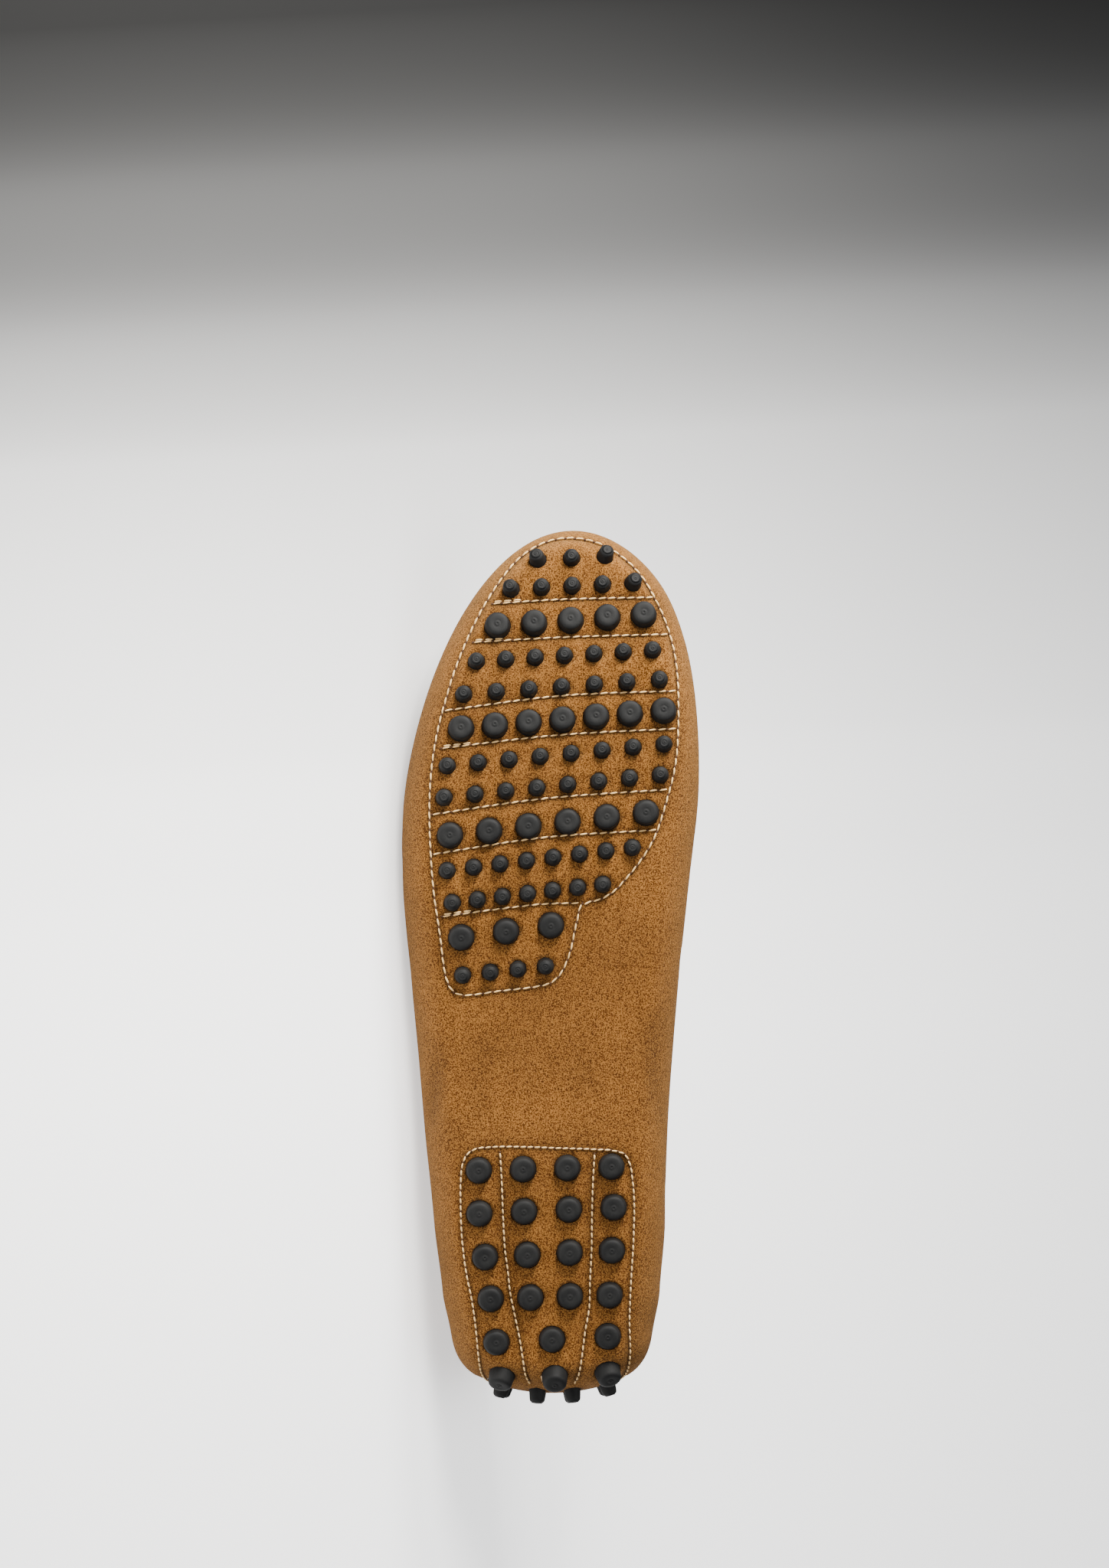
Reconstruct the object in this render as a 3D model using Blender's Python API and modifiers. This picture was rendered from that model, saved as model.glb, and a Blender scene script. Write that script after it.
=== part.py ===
"""Driving moccasin, right shoe, lying on its outer side.

Suede wraps the whole foot, under the sole too. Two rubber units lie inside on the suede and push their
pebble studs out through punched holes. An apron closes the top of the forefoot inside a raised seam, an
insole covers the units, and a rolled binding runs round the opening.

The shoe is shaped in its own frame: X to the outer side, Y from the heel to the toe, Z up from the tread.
The root empty then lays it on its outer side, with its lowest middle at the origin.
"""
import math
from collections import namedtuple

import bmesh
import bpy
import numpy as np
from mathutils import Matrix, Vector

# Sizes of the last and the shell, in metres
LENGTH = 0.284
BALL_WIDTH = 0.0966
HEEL_WIDTH = 0.0776
BACK_HEIGHT = 0.057
INSTEP_HEIGHT = 0.068
TOE_HEIGHT = 0.028
TOE_SPRING = 0.016
ARCH_RISE = 0.002
EDGE_ROUNDING = 0.011
WIDEST_HEIGHT = 0.016
LATERAL_DROP = 0.003
THROAT_BOW = 0.018
WALL = 0.002
RIDGE = 0.0012
APRON_THICKNESS = 0.0018
BINDING_RADIUS = 0.0022
INSOLE_THICKNESS = 0.0018
INSOLE_MARGIN = 0.0075
CLEARANCE = 0.0003
CORNER_TRIM = 0.0005
REST_PRESS = 0.001

# Sizes of the rubber units
UNIT_THICKNESS = 0.0016
STUD_HEIGHT = 0.0044
BIG_STUD = 0.0086
SMALL_STUD = 0.0056
STUD_TAPER = 0.0009
STUD_ROOT = 0.0008
HOLE_MARGIN = 0.001
HEEL_UNIT_LENGTH = 0.080
HEEL_UNIT_PATH = 0.1205

# Places along the shoe, as shares of its length: the throat corners, where collar becomes apron seam, and
# the stretches over which one form eases into the next
THROAT = 0.46
TRIM_END = 0.60
RIDGE_FULL = 0.51
HEEL_TO_BALL = (0.20, 0.65)
BACK_TO_INSTEP = (0.20, THROAT)
ARCH_UP = (0.25, 0.40)
ARCH_DOWN = (0.42, 0.58)
DROP_END = (0.30, THROAT)

# How far the wall's curve leans on its end directions, as a share of the span from widest line to rim
WALL_PULL = 0.75

# Mesh fineness
COLLAR_CELLS = 11
SEAM_CELLS = 11
RUNG_CELLS = 4
EDGE_CELLS = 3
SIDE_SHARES = (0.25, 0.5, 0.75)
RIDGE_SHARES = (0.89, 0.94, 1.0)
APRON_CELLS = 6
STUD_SIDES = {"big": 8, "small": 6}
PATCH_CUT = 0.003
CORNER_REACH = 1.25
UNIT_CELLS = 5
HEEL_UNIT_CELLS = 14
SHARP_ANGLE = 35.0

# How far round the heel and up its wall the path of the heel unit is sought, as turn and rise
BACK_TURN = 0.9
BACK_RISE = 1.9

Plan = namedtuple("Plan", "along breadth swing")
PLAN = (  # breadth is a share of the local half width, swing of half the ball width, to the outer side
    Plan(0.019, 0.651, -0.004),
    Plan(0.032, 0.758, -0.004),
    Plan(0.065, 0.853, -0.004),
    Plan(0.116, 0.923, 0.000),
    Plan(0.200, 0.984, 0.012),
    Plan(0.300, 0.998, 0.033),
    Plan(0.400, 0.984, 0.039),
    Plan(0.500, 0.975, 0.042),
    Plan(0.600, 0.986, 0.034),
    Plan(0.700, 1.000, -0.006),
    Plan(0.790, 0.936, -0.056),
    Plan(0.875, 0.798, -0.109),
    Plan(0.947, 0.562, -0.146),
    Plan(0.975, 0.394, -0.150),
)

Section = namedtuple("Section", "along height inset widest edge belly lean crown")
SECTIONS = (  # rim height, rim inset, widest line, edge rounding, wall belly, lean in degrees, apron crown
    Section(0.00, 1.000, 0.21, 1.35, 1.05, 0.36, 80, 0.50),
    Section(0.10, 0.930, 0.23, 1.25, 1.05, 0.32, 79, 0.50),
    Section(0.20, 0.825, 0.26, 1.18, 1.00, 0.24, 76, 0.50),
    Section(0.30, 0.734, 0.29, 1.12, 1.00, 0.20, 72, 0.50),
    Section(0.40, 0.737, 0.34, 1.06, 1.00, 0.20, 60, 0.50),
    Section(0.46, 0.790, 0.38, 1.04, 1.00, 0.22, 48, 0.50),
    Section(0.55, 0.790, 0.41, 1.00, 1.00, 0.30, 38, 0.34),
    Section(0.65, 0.790, 0.425, 0.95, 1.00, 0.38, 28, 0.26),
    Section(0.75, 0.830, 0.41, 0.88, 0.95, 0.40, 26, 0.24),
    Section(0.85, 0.900, 0.39, 0.80, 0.90, 0.42, 23, 0.21),
    Section(0.93, 0.970, 0.38, 0.77, 0.86, 0.42, 20, 0.18),
    Section(1.00, 1.000, 0.39, 0.75, 0.82, 0.42, 17, 0.15),
)

Tread = namedtuple("Tread", "along rise")
TREAD = (  # height of the underside along the middle, as a share of the toe spring
    Tread(0.00, 0.0),
    Tread(0.56, 0.0),
    Tread(0.66, 0.04),
    Tread(0.78, 0.24),
    Tread(0.90, 0.61),
    Tread(1.00, 1.0),
)

# Rows of forefoot studs from the toe: their outer and inner end studs, as shares of the length along the
# shoe and of half the ball width across it
StudRow = namedtuple("StudRow", "size count outer_along outer_across inner_along inner_across")
FOREFOOT_ROWS = (
    StudRow("small", 3, 0.964, 0.091, 0.968, -0.366),
    StudRow("small", 5, 0.930, 0.274, 0.937, -0.555),
    StudRow("big", 5, 0.887, 0.366, 0.900, -0.628),
    StudRow("small", 7, 0.846, 0.509, 0.859, -0.687),
    StudRow("small", 7, 0.808, 0.595, 0.825, -0.733),
    StudRow("big", 7, 0.7685, 0.612, 0.789, -0.760),
    StudRow("small", 8, 0.7255, 0.706, 0.7505, -0.762),
    StudRow("small", 8, 0.689, 0.727, 0.715, -0.737),
    StudRow("big", 6, 0.6455, 0.687, 0.6715, -0.639),
    StudRow("small", 8, 0.605, 0.706, 0.6315, -0.547),
    StudRow("small", 7, 0.568, 0.671, 0.589, -0.346),
    StudRow("big", 3, 0.528, 0.610, 0.542, 0.004),
    StudRow("small", 4, 0.4845, 0.601, 0.495, 0.041),
)

# Rows of heel studs: how far each lies from the unit's front edge, measured along the suede, which turns up
# the back, as a share of the unit's path, and its outer and inner ends across, of half the heel width
HeelRow = namedtuple("HeelRow", "size count outer_path outer_across inner_path inner_across")
HEEL_ROWS = (
    HeelRow("big", 4, 0.051, 0.612, 0.041, -0.505),
    HeelRow("big", 4, 0.168, 0.608, 0.151, -0.523),
    HeelRow("big", 4, 0.286, 0.560, 0.268, -0.508),
    HeelRow("big", 4, 0.399, 0.512, 0.389, -0.489),
    HeelRow("big", 3, 0.517, 0.465, 0.501, -0.474),
    HeelRow("big", 3, 0.622, 0.415, 0.606, -0.470),
    HeelRow("small", 4, 0.713, 0.410, 0.713, -0.470),
    HeelRow("small", 3, 0.801, 0.270, 0.801, -0.320),
    HeelRow("small", 2, 0.889, 0.115, 0.889, -0.155),
)

# Outline of the forefoot unit: shares of the length, and of half the ball width to either edge
UnitRow = namedtuple("UnitRow", "along outer inner")
FOREFOOT_UNIT = (
    UnitRow(0.469, 0.640, 0.030),
    UnitRow(0.500, 0.710, -0.050),
    UnitRow(0.545, 0.745, -0.130),
    UnitRow(0.566, 0.765, -0.240),
    UnitRow(0.580, 0.772, -0.420),
    UnitRow(0.605, 0.785, -0.570),
    UnitRow(0.635, 0.795, -0.670),
    UnitRow(0.680, 0.800, -0.765),
    UnitRow(0.730, 0.790, -0.825),
    UnitRow(0.780, 0.725, -0.840),
    UnitRow(0.830, 0.630, -0.815),
    UnitRow(0.880, 0.500, -0.750),
    UnitRow(0.925, 0.370, -0.640),
    UnitRow(0.955, 0.230, -0.520),
    UnitRow(0.978, 0.070, -0.370),
)

# Outline of the heel unit: shares of its path along the suede, and of half the heel width to either edge
HEEL_UNIT = (
    UnitRow(0.015, 0.739, -0.627),
    UnitRow(0.202, 0.715, -0.629),
    UnitRow(0.389, 0.612, -0.584),
    UnitRow(0.576, 0.477, -0.507),
    UnitRow(0.763, 0.369, -0.424),
    UnitRow(0.950, 0.327, -0.383),
)


def smoothstep(value, low, high):
    """Share that eases from 0 at low to 1 at high."""
    share = np.clip((value - low) / (high - low), 0.0, 1.0)
    return share * share * (3.0 - 2.0 * share)


def smooth_column(table, column, at):
    """Smooth curve through one column of a table: a cubic between rows, level with the end rows outside."""
    along = np.array([row.along for row in table])
    values = np.array([getattr(row, column) for row in table], dtype=float)
    slopes = np.gradient(values, along)
    cell = np.clip(np.searchsorted(along, at) - 1, 0, len(along) - 2)
    width = along[cell + 1] - along[cell]
    share = np.clip((at - along[cell]) / width, 0.0, 1.0)
    rest = 1.0 - share
    return (
        (1.0 + 2.0 * share) * rest**2 * values[cell]
        + share * rest**2 * width * slopes[cell]
        + share**2 * (3.0 - 2.0 * share) * values[cell + 1]
        - share**2 * rest * width * slopes[cell + 1]
    )


def half_width(along):
    """Half the last's width by its heel and ball, before the outline rounds off its ends."""
    ball = smoothstep(along, *HEEL_TO_BALL)
    return (HEEL_WIDTH + (BALL_WIDTH - HEEL_WIDTH) * ball) / 2.0


def full_height(along):
    """Height that the rim's share is taken of: back height, then instep height, then toe height."""
    instep = smoothstep(along, *BACK_TO_INSTEP)
    toe = smoothstep(along, THROAT, 1.0)
    return BACK_HEIGHT + (INSTEP_HEIGHT - BACK_HEIGHT) * instep + (TOE_HEIGHT - INSTEP_HEIGHT) * toe


def outline(turn):
    """Plan outline: an ellipse of the shoe's length, its half width times the fullness that PLAN gives.

    turn is 0 at the heel, pi at the toe, and runs up the outer side first.
    """
    along = (1.0 - np.cos(turn)) / 2.0
    table = [Plan(r.along, r.breadth / (2.0 * math.sqrt(r.along * (1.0 - r.along))), r.swing) for r in PLAN]
    fullness = smooth_column(table, "breadth", along)
    swing = smooth_column(PLAN, "swing", along) * BALL_WIDTH / 2.0
    return swing + half_width(along) * fullness * np.sin(turn), LENGTH * along


def inward(turn):
    """Unit vector in plan from the outline towards the inside of the shoe."""
    step = 0.002
    x0, y0 = outline(turn - step)
    x1, y1 = outline(turn + step)
    length = np.hypot(x1 - x0, y1 - y0)
    return -(y1 - y0) / length, (x1 - x0) / length


def tread_height(y):
    """Height of the underside's middle line: the arch's low hump and the toe spring."""
    along = y / LENGTH
    arch = smoothstep(along, *ARCH_UP) - smoothstep(along, *ARCH_DOWN)
    return ARCH_RISE * arch + TOE_SPRING * smooth_column(TREAD, "rise", along)


def wall(turn, rise):
    """Outer surface of the suede from the tread's edge (rise 0) by the widest line (1) to the rim (2).

    Up to the widest line the section is a quarter ellipse. From there a cubic curve leaves upright and
    reaches the rim at the section's lean.
    """
    turn, rise = np.broadcast_arrays(np.asarray(turn, float), np.asarray(rise, float))
    along = (1.0 - np.cos(turn)) / 2.0
    edge = EDGE_ROUNDING * smooth_column(SECTIONS, "edge", along)
    widest = WIDEST_HEIGHT * smooth_column(SECTIONS, "widest", along)
    drop = LATERAL_DROP * np.clip(np.sin(turn), 0.0, 1.0) * (1.0 - smoothstep(along, *DROP_END))
    rim = full_height(along) * smooth_column(SECTIONS, "height", along) - drop
    inset = half_width(along) * smooth_column(SECTIONS, "inset", along)
    lean = np.radians(smooth_column(SECTIONS, "lean", along))
    low = np.clip(rise, 0.0, 1.0) * math.pi / 2.0
    low_inset, low_height = edge * (1.0 - np.sin(low)), widest * (1.0 - np.cos(low))
    high = np.clip(rise - 1.0, 0.0, 1.0)
    belly = smooth_column(SECTIONS, "belly", along)
    reach = WALL_PULL * belly * np.hypot(inset, rim - widest)
    start_height = widest + belly * (rim - widest)
    end_inset, end_height = inset - reach * np.cos(lean), rim - reach * np.sin(lean)
    high_inset = 3.0 * (1.0 - high) * high**2 * end_inset + high**3 * inset
    high_height = (
        (1.0 - high) ** 3 * widest
        + 3.0 * (1.0 - high) ** 2 * high * start_height
        + 3.0 * (1.0 - high) * high**2 * end_height
        + high**3 * rim
    )
    above = rise > 1.0
    depth = np.where(above, high_inset, low_inset)
    height = np.where(above, high_height, low_height)
    x, y = outline(turn)
    toward_x, toward_y = inward(turn)
    x, y = x + depth * toward_x, y + depth * toward_y
    return np.stack([x, y, tread_height(y) + height], axis=-1)


def unit(vectors):
    """Each vector at length 1."""
    return vectors / np.linalg.norm(vectors, axis=-1, keepdims=True)


def wall_up(turn, rise):
    """Unit vector up the wall, across the rim."""
    step = 0.004
    return unit(wall(turn, rise) - wall(turn, np.asarray(rise) - step))


def wall_normal(turn, rise):
    """Outward unit normal of the wall."""
    step = 0.004
    turn = np.asarray(turn, float)
    sideways = wall(turn + step, rise) - wall(turn - step, rise)
    upward = wall(turn, np.asarray(rise) + step) - wall(turn, np.asarray(rise) - step)
    return unit(np.cross(sideways, upward))


def underside(x, y):
    """Point of the suede's outer surface under plan point (x, y): the tread, rounded up near the outline."""
    turns = np.linspace(0.0, 2.0 * math.pi, 721)[:-1]
    edge_x, edge_y = outline(turns)
    gaps = np.hypot(x[..., None] - edge_x, y[..., None] - edge_y)
    nearest = gaps.argmin(axis=-1)
    along = (1.0 - np.cos(turns[nearest])) / 2.0
    edge = EDGE_ROUNDING * smooth_column(SECTIONS, "edge", along)
    widest = WIDEST_HEIGHT * smooth_column(SECTIONS, "widest", along)
    share = np.clip(1.0 - gaps.min(axis=-1) / edge, 0.0, 0.995)
    return np.stack([x, y, tread_height(y) + widest * (1.0 - np.sqrt(1.0 - share**2))], axis=-1)


def underside_normal(x, y):
    """Outward unit normal of the underside, which points down."""
    step = 0.0004
    ahead = underside(x, y + step) - underside(x, y - step)
    across = underside(x + step, y) - underside(x - step, y)
    return unit(np.cross(ahead, across))


def heel_path(x, distance):
    """Point and normal on the heel, at x across and a distance along the suede from the unit's front edge.

    The section at x runs back along the underside, round the edge and up the back of the wall. It is
    sampled finely and read by its arc length.
    """
    flat_y = np.linspace(HEEL_UNIT_LENGTH, 0.0, 120)
    edge_turns = np.linspace(-BACK_TURN, BACK_TURN, 241)
    rises = np.linspace(0.0, BACK_RISE, 90)
    points, normals = [], []
    for across, length in zip(np.ravel(x), np.ravel(distance)):
        back = wall(edge_turns[:, None], rises[None, :])
        turns = np.array([np.interp(across, back[:, k, 0], edge_turns) for k in range(len(rises))])
        up_wall, up_normal = wall(turns, rises), wall_normal(turns, rises)
        ahead = flat_y[flat_y > up_wall[0, 1]]
        below = underside(np.full(ahead.shape, across), ahead)
        below_normal = underside_normal(np.full(ahead.shape, across), ahead)
        line = np.concatenate([below, up_wall])
        turned = np.concatenate([below_normal, up_normal])
        arc = np.concatenate([[0.0], np.cumsum(np.linalg.norm(np.diff(line, axis=0), axis=1))])
        points.append([np.interp(length, arc, line[:, k]) for k in range(3)])
        normals.append([np.interp(length, arc, turned[:, k]) for k in range(3)])
    shape = np.shape(x) + (3,)
    return np.array(points).reshape(shape), unit(np.array(normals).reshape(shape))


def strip_faces(rows, columns):
    """Quads of a grid of points, row by row."""
    return [
        (r * columns + c, r * columns + c + 1, (r + 1) * columns + c + 1, (r + 1) * columns + c)
        for r in range(rows - 1)
        for c in range(columns - 1)
    ]


def add_object(name, points, faces, collection, material=None):
    """Mesh object of the given points and faces, in a collection, with its one material."""
    mesh = bpy.data.meshes.new(name)
    mesh.from_pydata([tuple(p) for p in np.reshape(points, (-1, 3))], [], faces)
    mesh.validate()
    made = bpy.data.objects.new(name, mesh)
    collection.objects.link(made)
    if material:
        mesh.materials.append(material)
    return made


def finish(made):
    """Outward faces, shaded smooth with the sharp edges kept."""
    work = bmesh.new()
    work.from_mesh(made.data)
    bmesh.ops.recalc_face_normals(work, faces=work.faces)
    work.to_mesh(made.data)
    work.free()
    made.data.shade_smooth()
    made.data.set_sharp_from_angle(angle=math.radians(SHARP_ANGLE))


def solidify(made, thickness, depth=0.0, group=None):
    """Wall thickness inward from a depth below the surface, times the vertex group's weight if given."""
    shell = made.modifiers.new("wall", "SOLIDIFY")
    shell.thickness = thickness
    shell.offset = -1.0 - 2.0 * depth / thickness
    if group:
        shell.vertex_group = group


def boolean(made, operation, other):
    """Cut or join another object into this one, exactly."""
    step = made.modifiers.new(operation.lower(), "BOOLEAN")
    step.operation = operation
    step.solver = "EXACT"
    step.object = other


def hide_cutter(made):
    """Show a cutter as wire and leave it out of renders."""
    made.hide_render = True
    made.display_type = "WIRE"


def material(name, color, roughness):
    """Plain Principled material of one colour."""
    made = bpy.data.materials.new(name)
    made.use_nodes = True
    shader = made.node_tree.nodes["Principled BSDF"]
    shader.inputs["Base Color"].default_value = (*color, 1.0)
    shader.inputs["Roughness"].default_value = roughness
    shader.inputs["Metallic"].default_value = 0.0
    return made


def ridge_share(turn):
    """1 along the apron seam, easing to 0 at the throat corners."""
    along = (1.0 - np.cos(turn)) / 2.0
    return smoothstep(along, THROAT, RIDGE_FULL)


def half_turns():
    """Stations up one side of the outline: heel, throat corner and toe are three of them."""
    corner = math.acos(1.0 - 2.0 * THROAT)
    collar = np.linspace(0.0, corner, COLLAR_CELLS + 1)
    seam = np.linspace(corner, math.pi, SEAM_CELLS + 1)
    return np.concatenate([collar, seam[1:]])


def all_turns():
    """Stations right round the outline, up the outer side and down the inner one."""
    outer = half_turns()
    return np.concatenate([outer, 2.0 * math.pi - outer[-2:0:-1]])


def bowl(lip_height):
    """Points and faces of the suede's outer surface, and how far each point is raised for the seam lip.

    The wall is a grid of stations round the outline and rows up it. Rungs join each outer station to its
    inner twin to close the tread.
    """
    turns = all_turns()
    rises = np.concatenate(
        [np.linspace(0.0, 1.0, EDGE_CELLS + 1), 1.0 + np.array(SIDE_SHARES), 1.0 + np.array(RIDGE_SHARES)]
    )
    points = wall(turns[None, :], rises[:, None])
    lip = np.zeros(len(rises))
    lip[-2:] = lip_height
    raised = lip[:, None] * ridge_share(turns)[None, :]
    points = points + raised[..., None] * wall_normal(turns[None, :], np.minimum(rises[:, None], 1.99))
    columns = len(turns)
    corners = np.arange(columns)
    faces = []
    for r in range(len(rises) - 1):
        low, high = r * columns + corners, (r + 1) * columns + corners
        faces += np.stack([low, np.roll(low, -1), np.roll(high, -1), high], axis=-1).tolist()
    half = columns // 2
    shares = np.linspace(0.0, 1.0, RUNG_CELLS + 1)[1:-1]
    outer, inner = points[0, 1:half], points[0, :half:-1]
    rungs = outer[:, None] + (inner - outer)[:, None] * shares[None, :, None]
    tread = underside(rungs[..., 0], rungs[..., 1])
    base = points.shape[0] * columns
    lines = [
        [k + 1] + [base + k * len(shares) + c for c in range(len(shares))] + [columns - k - 1]
        for k in range(half - 1)
    ]
    for near, far in zip(lines, lines[1:]):
        faces += [(near[c], far[c], far[c + 1], near[c + 1]) for c in range(RUNG_CELLS)]
    faces += [(0, lines[0][c], lines[0][c + 1]) for c in range(RUNG_CELLS)]
    faces += [(half, lines[-1][c + 1], lines[-1][c]) for c in range(RUNG_CELLS)]
    everything = np.concatenate([points.reshape(-1, 3), tread.reshape(-1, 3)])
    return everything, faces, np.concatenate([raised.ravel(), np.zeros(tread.shape[0] * tread.shape[1])])


def build_upper(parts, suede):
    """Upper: one hollow suede bowl, rim to rim under the foot, with a raised seam lip round the apron."""
    points, faces, raised = bowl(RIDGE)
    upper = add_object("upper", points, faces, parts, suede)
    finish(upper)
    weight = upper.vertex_groups.new(name="wall_share")
    for index, value in enumerate((WALL + raised) / (WALL + RIDGE)):
        weight.add([index], value, "REPLACE")
    solidify(upper, WALL + RIDGE, group=weight.name)
    return upper


def build_lining_patch(name, depth, thickness, patch, parts, cutters, look):
    """A sheet that lies on the suede inside, parallel to it at a depth, cut out between two larger forms.

    One form is the bowl's own surface at that depth and thickness. The other is the patch, an open strip
    on the suede with the sheet's outline, thickened through it.
    """
    points, faces, _ = bowl(0.0)
    sheet = add_object(name, points, faces, parts, look)
    finish(sheet)
    solidify(sheet, thickness, depth=depth)
    cutter = add_object(name + "_outline", *patch, cutters)
    face_down(cutter)
    solidify(cutter, depth + thickness + PATCH_CUT / 2.0, depth=-PATCH_CUT / 4.0)
    hide_cutter(cutter)
    boolean(sheet, "INTERSECT", cutter)
    return sheet


def apron_surface(turns, across):
    """Apron points: rungs between the two seams, crowned like a parabola, the rear ones bowed to the toe."""
    near_corner = 1.0 - smoothstep((1.0 - np.cos(turns)) / 2.0, THROAT, TRIM_END)
    trim = CLEARANCE + CORNER_TRIM * near_corner[:, None]
    outer = wall(turns, 2.0) + trim * wall_up(turns, 2.0)
    inner = wall(2.0 * math.pi - turns, 2.0) + trim * wall_up(2.0 * math.pi - turns, 2.0)
    middle, half = (outer + inner) / 2.0, (outer - inner) / 2.0
    points = middle[:, None] + across[None, :, None] * half[:, None]
    crown = smooth_column(SECTIONS, "crown", (1.0 - np.cos(turns)) / 2.0) * np.linalg.norm(half, axis=-1)
    dome = 1.0 - across**2
    start = turns[0]
    back = ((math.pi - turns) / (math.pi - start)) ** 2
    points[..., 2] += crown[:, None] * dome[None, :]
    points[..., 1] += THROAT_BOW * back[:, None] * dome[None, :]
    return points


def seam_turns():
    """Stations from the throat corner to the toe."""
    return half_turns()[COLLAR_CELLS:]


def build_apron(parts, suede):
    """Apron: the suede plug on top of the forefoot, inside the raised seam."""
    turns = seam_turns()
    across = np.linspace(1.0, -1.0, APRON_CELLS + 1)
    points = apron_surface(turns[:-1], across)
    tip = wall(math.pi, 2.0) + CLEARANCE * wall_up(math.pi, 2.0)
    rows, columns = points.shape[:2]
    faces = strip_faces(rows, columns)
    last = (rows - 1) * columns
    faces += [(last + c, last + c + 1, rows * columns) for c in range(columns - 1)]
    apron = add_object("apron", np.concatenate([points.reshape(-1, 3), tip[None]]), faces, parts, suede)
    finish(apron)
    solidify(apron, APRON_THICKNESS)
    return apron


def opening_loop():
    """Middle line of the binding: just off the collar's rim and the apron's rear edge, as one loop."""
    off = CLEARANCE + BINDING_RADIUS
    outer = half_turns()[:COLLAR_CELLS]
    collar_turns = np.concatenate([-outer[:0:-1], outer])
    collar = wall(collar_turns, 2.0) + off * wall_up(collar_turns, 2.0)
    rear = apron_surface(seam_turns()[:2], np.linspace(1.0, -1.0, APRON_CELLS + 1))
    back = unit(rear[0] - rear[1])
    corners = seam_turns()[0] * np.array([1.0, -1.0])
    back[[0, -1]] = CORNER_REACH * unit(back[[0, -1]] + wall_up(corners, 2.0))
    return np.concatenate([collar, rear[0] + off * back])


def build_binding(parts, cutters, leather):
    """Collar binding: a rolled edge round the whole opening, a curve made into a mesh."""
    path = bpy.data.curves.new("binding_path", "CURVE")
    path.dimensions = "3D"
    path.bevel_depth = BINDING_RADIUS
    path.bevel_resolution = 1
    line = path.splines.new("POLY")
    loop = opening_loop()
    line.points.add(len(loop) - 1)
    for point, place in zip(line.points, loop):
        point.co = (*place, 1.0)
    line.use_cyclic_u = True
    guide = bpy.data.objects.new("binding_path", path)
    cutters.objects.link(guide)
    bpy.context.view_layer.update()
    graph = bpy.context.evaluated_depsgraph_get()
    mesh = bpy.data.meshes.new_from_object(guide.evaluated_get(graph), depsgraph=graph)
    bpy.data.objects.remove(guide, do_unlink=True)
    mesh.materials.clear()
    mesh.materials.append(leather)
    binding = bpy.data.objects.new("collar_binding", mesh)
    parts.objects.link(binding)
    finish(binding)
    return binding


def row_places(table, count_of, start_keys, end_keys):
    """Evenly spaced places from each row's outer end to its inner end, with the row they belong to."""
    places = []
    for row in table:
        for share in np.linspace(0.0, 1.0, count_of(row)):
            first = [getattr(row, key) for key in start_keys]
            last = [getattr(row, key) for key in end_keys]
            places.append((row.size, *(a + (b - a) * share for a, b in zip(first, last))))
    return places


def forefoot_studs():
    """Size, place and outward normal of each forefoot stud, on the suede's outer surface."""
    places = row_places(
        FOREFOOT_ROWS, lambda row: row.count, ("outer_along", "outer_across"), ("inner_along", "inner_across")
    )
    y = LENGTH * np.array([p[1] for p in places])
    x = BALL_WIDTH / 2.0 * np.array([p[2] for p in places])
    return [p[0] for p in places], underside(x, y), underside_normal(x, y)


def heel_studs():
    """Size, place and outward normal of each heel stud, on the suede's outer surface."""
    places = row_places(
        HEEL_ROWS, lambda row: row.count, ("outer_path", "outer_across"), ("inner_path", "inner_across")
    )
    distance = HEEL_UNIT_PATH * np.array([p[1] for p in places])
    x = HEEL_WIDTH / 2.0 * np.array([p[2] for p in places])
    points, normals = heel_path(x, distance)
    return [p[0] for p in places], points, normals


def stud_mesh(name, studs, inside, outside, margin, collection):
    """One mesh of tapered pegs through the suede, from a depth inside its outer face to a height outside."""
    work = bmesh.new()
    for size, point, normal in zip(*studs):
        diameter = (BIG_STUD if size == "big" else SMALL_STUD) + 2.0 * margin
        taper = STUD_TAPER if margin == 0.0 else 0.0
        middle = Vector(point) + Vector(normal) * (outside - inside) / 2.0
        turned = Vector(normal).to_track_quat("Z", "Y").to_matrix().to_4x4()
        bmesh.ops.create_cone(
            work,
            cap_ends=True,
            segments=STUD_SIDES[size],
            radius1=diameter / 2.0,
            radius2=(diameter - taper) / 2.0,
            depth=inside + outside,
            matrix=Matrix.Translation(middle) @ turned,
        )
    mesh = bpy.data.meshes.new(name)
    work.to_mesh(mesh)
    work.free()
    made = bpy.data.objects.new(name, mesh)
    collection.objects.link(made)
    hide_cutter(made)
    return made


def punch_holes(upper, studs, name, cutters):
    """Holes in the suede, one round each stud."""
    inside = WALL + CLEARANCE / 2.0 + HOLE_MARGIN
    boolean(upper, "DIFFERENCE", stud_mesh(name, studs, inside, HOLE_MARGIN, CLEARANCE, cutters))


def fuse_studs(rubber_unit, studs, name, cutters):
    """Studs moulded in one with their plate."""
    inside = WALL + CLEARANCE + STUD_ROOT
    boolean(rubber_unit, "UNION", stud_mesh(name, studs, inside, STUD_HEIGHT, 0.0, cutters))


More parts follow.
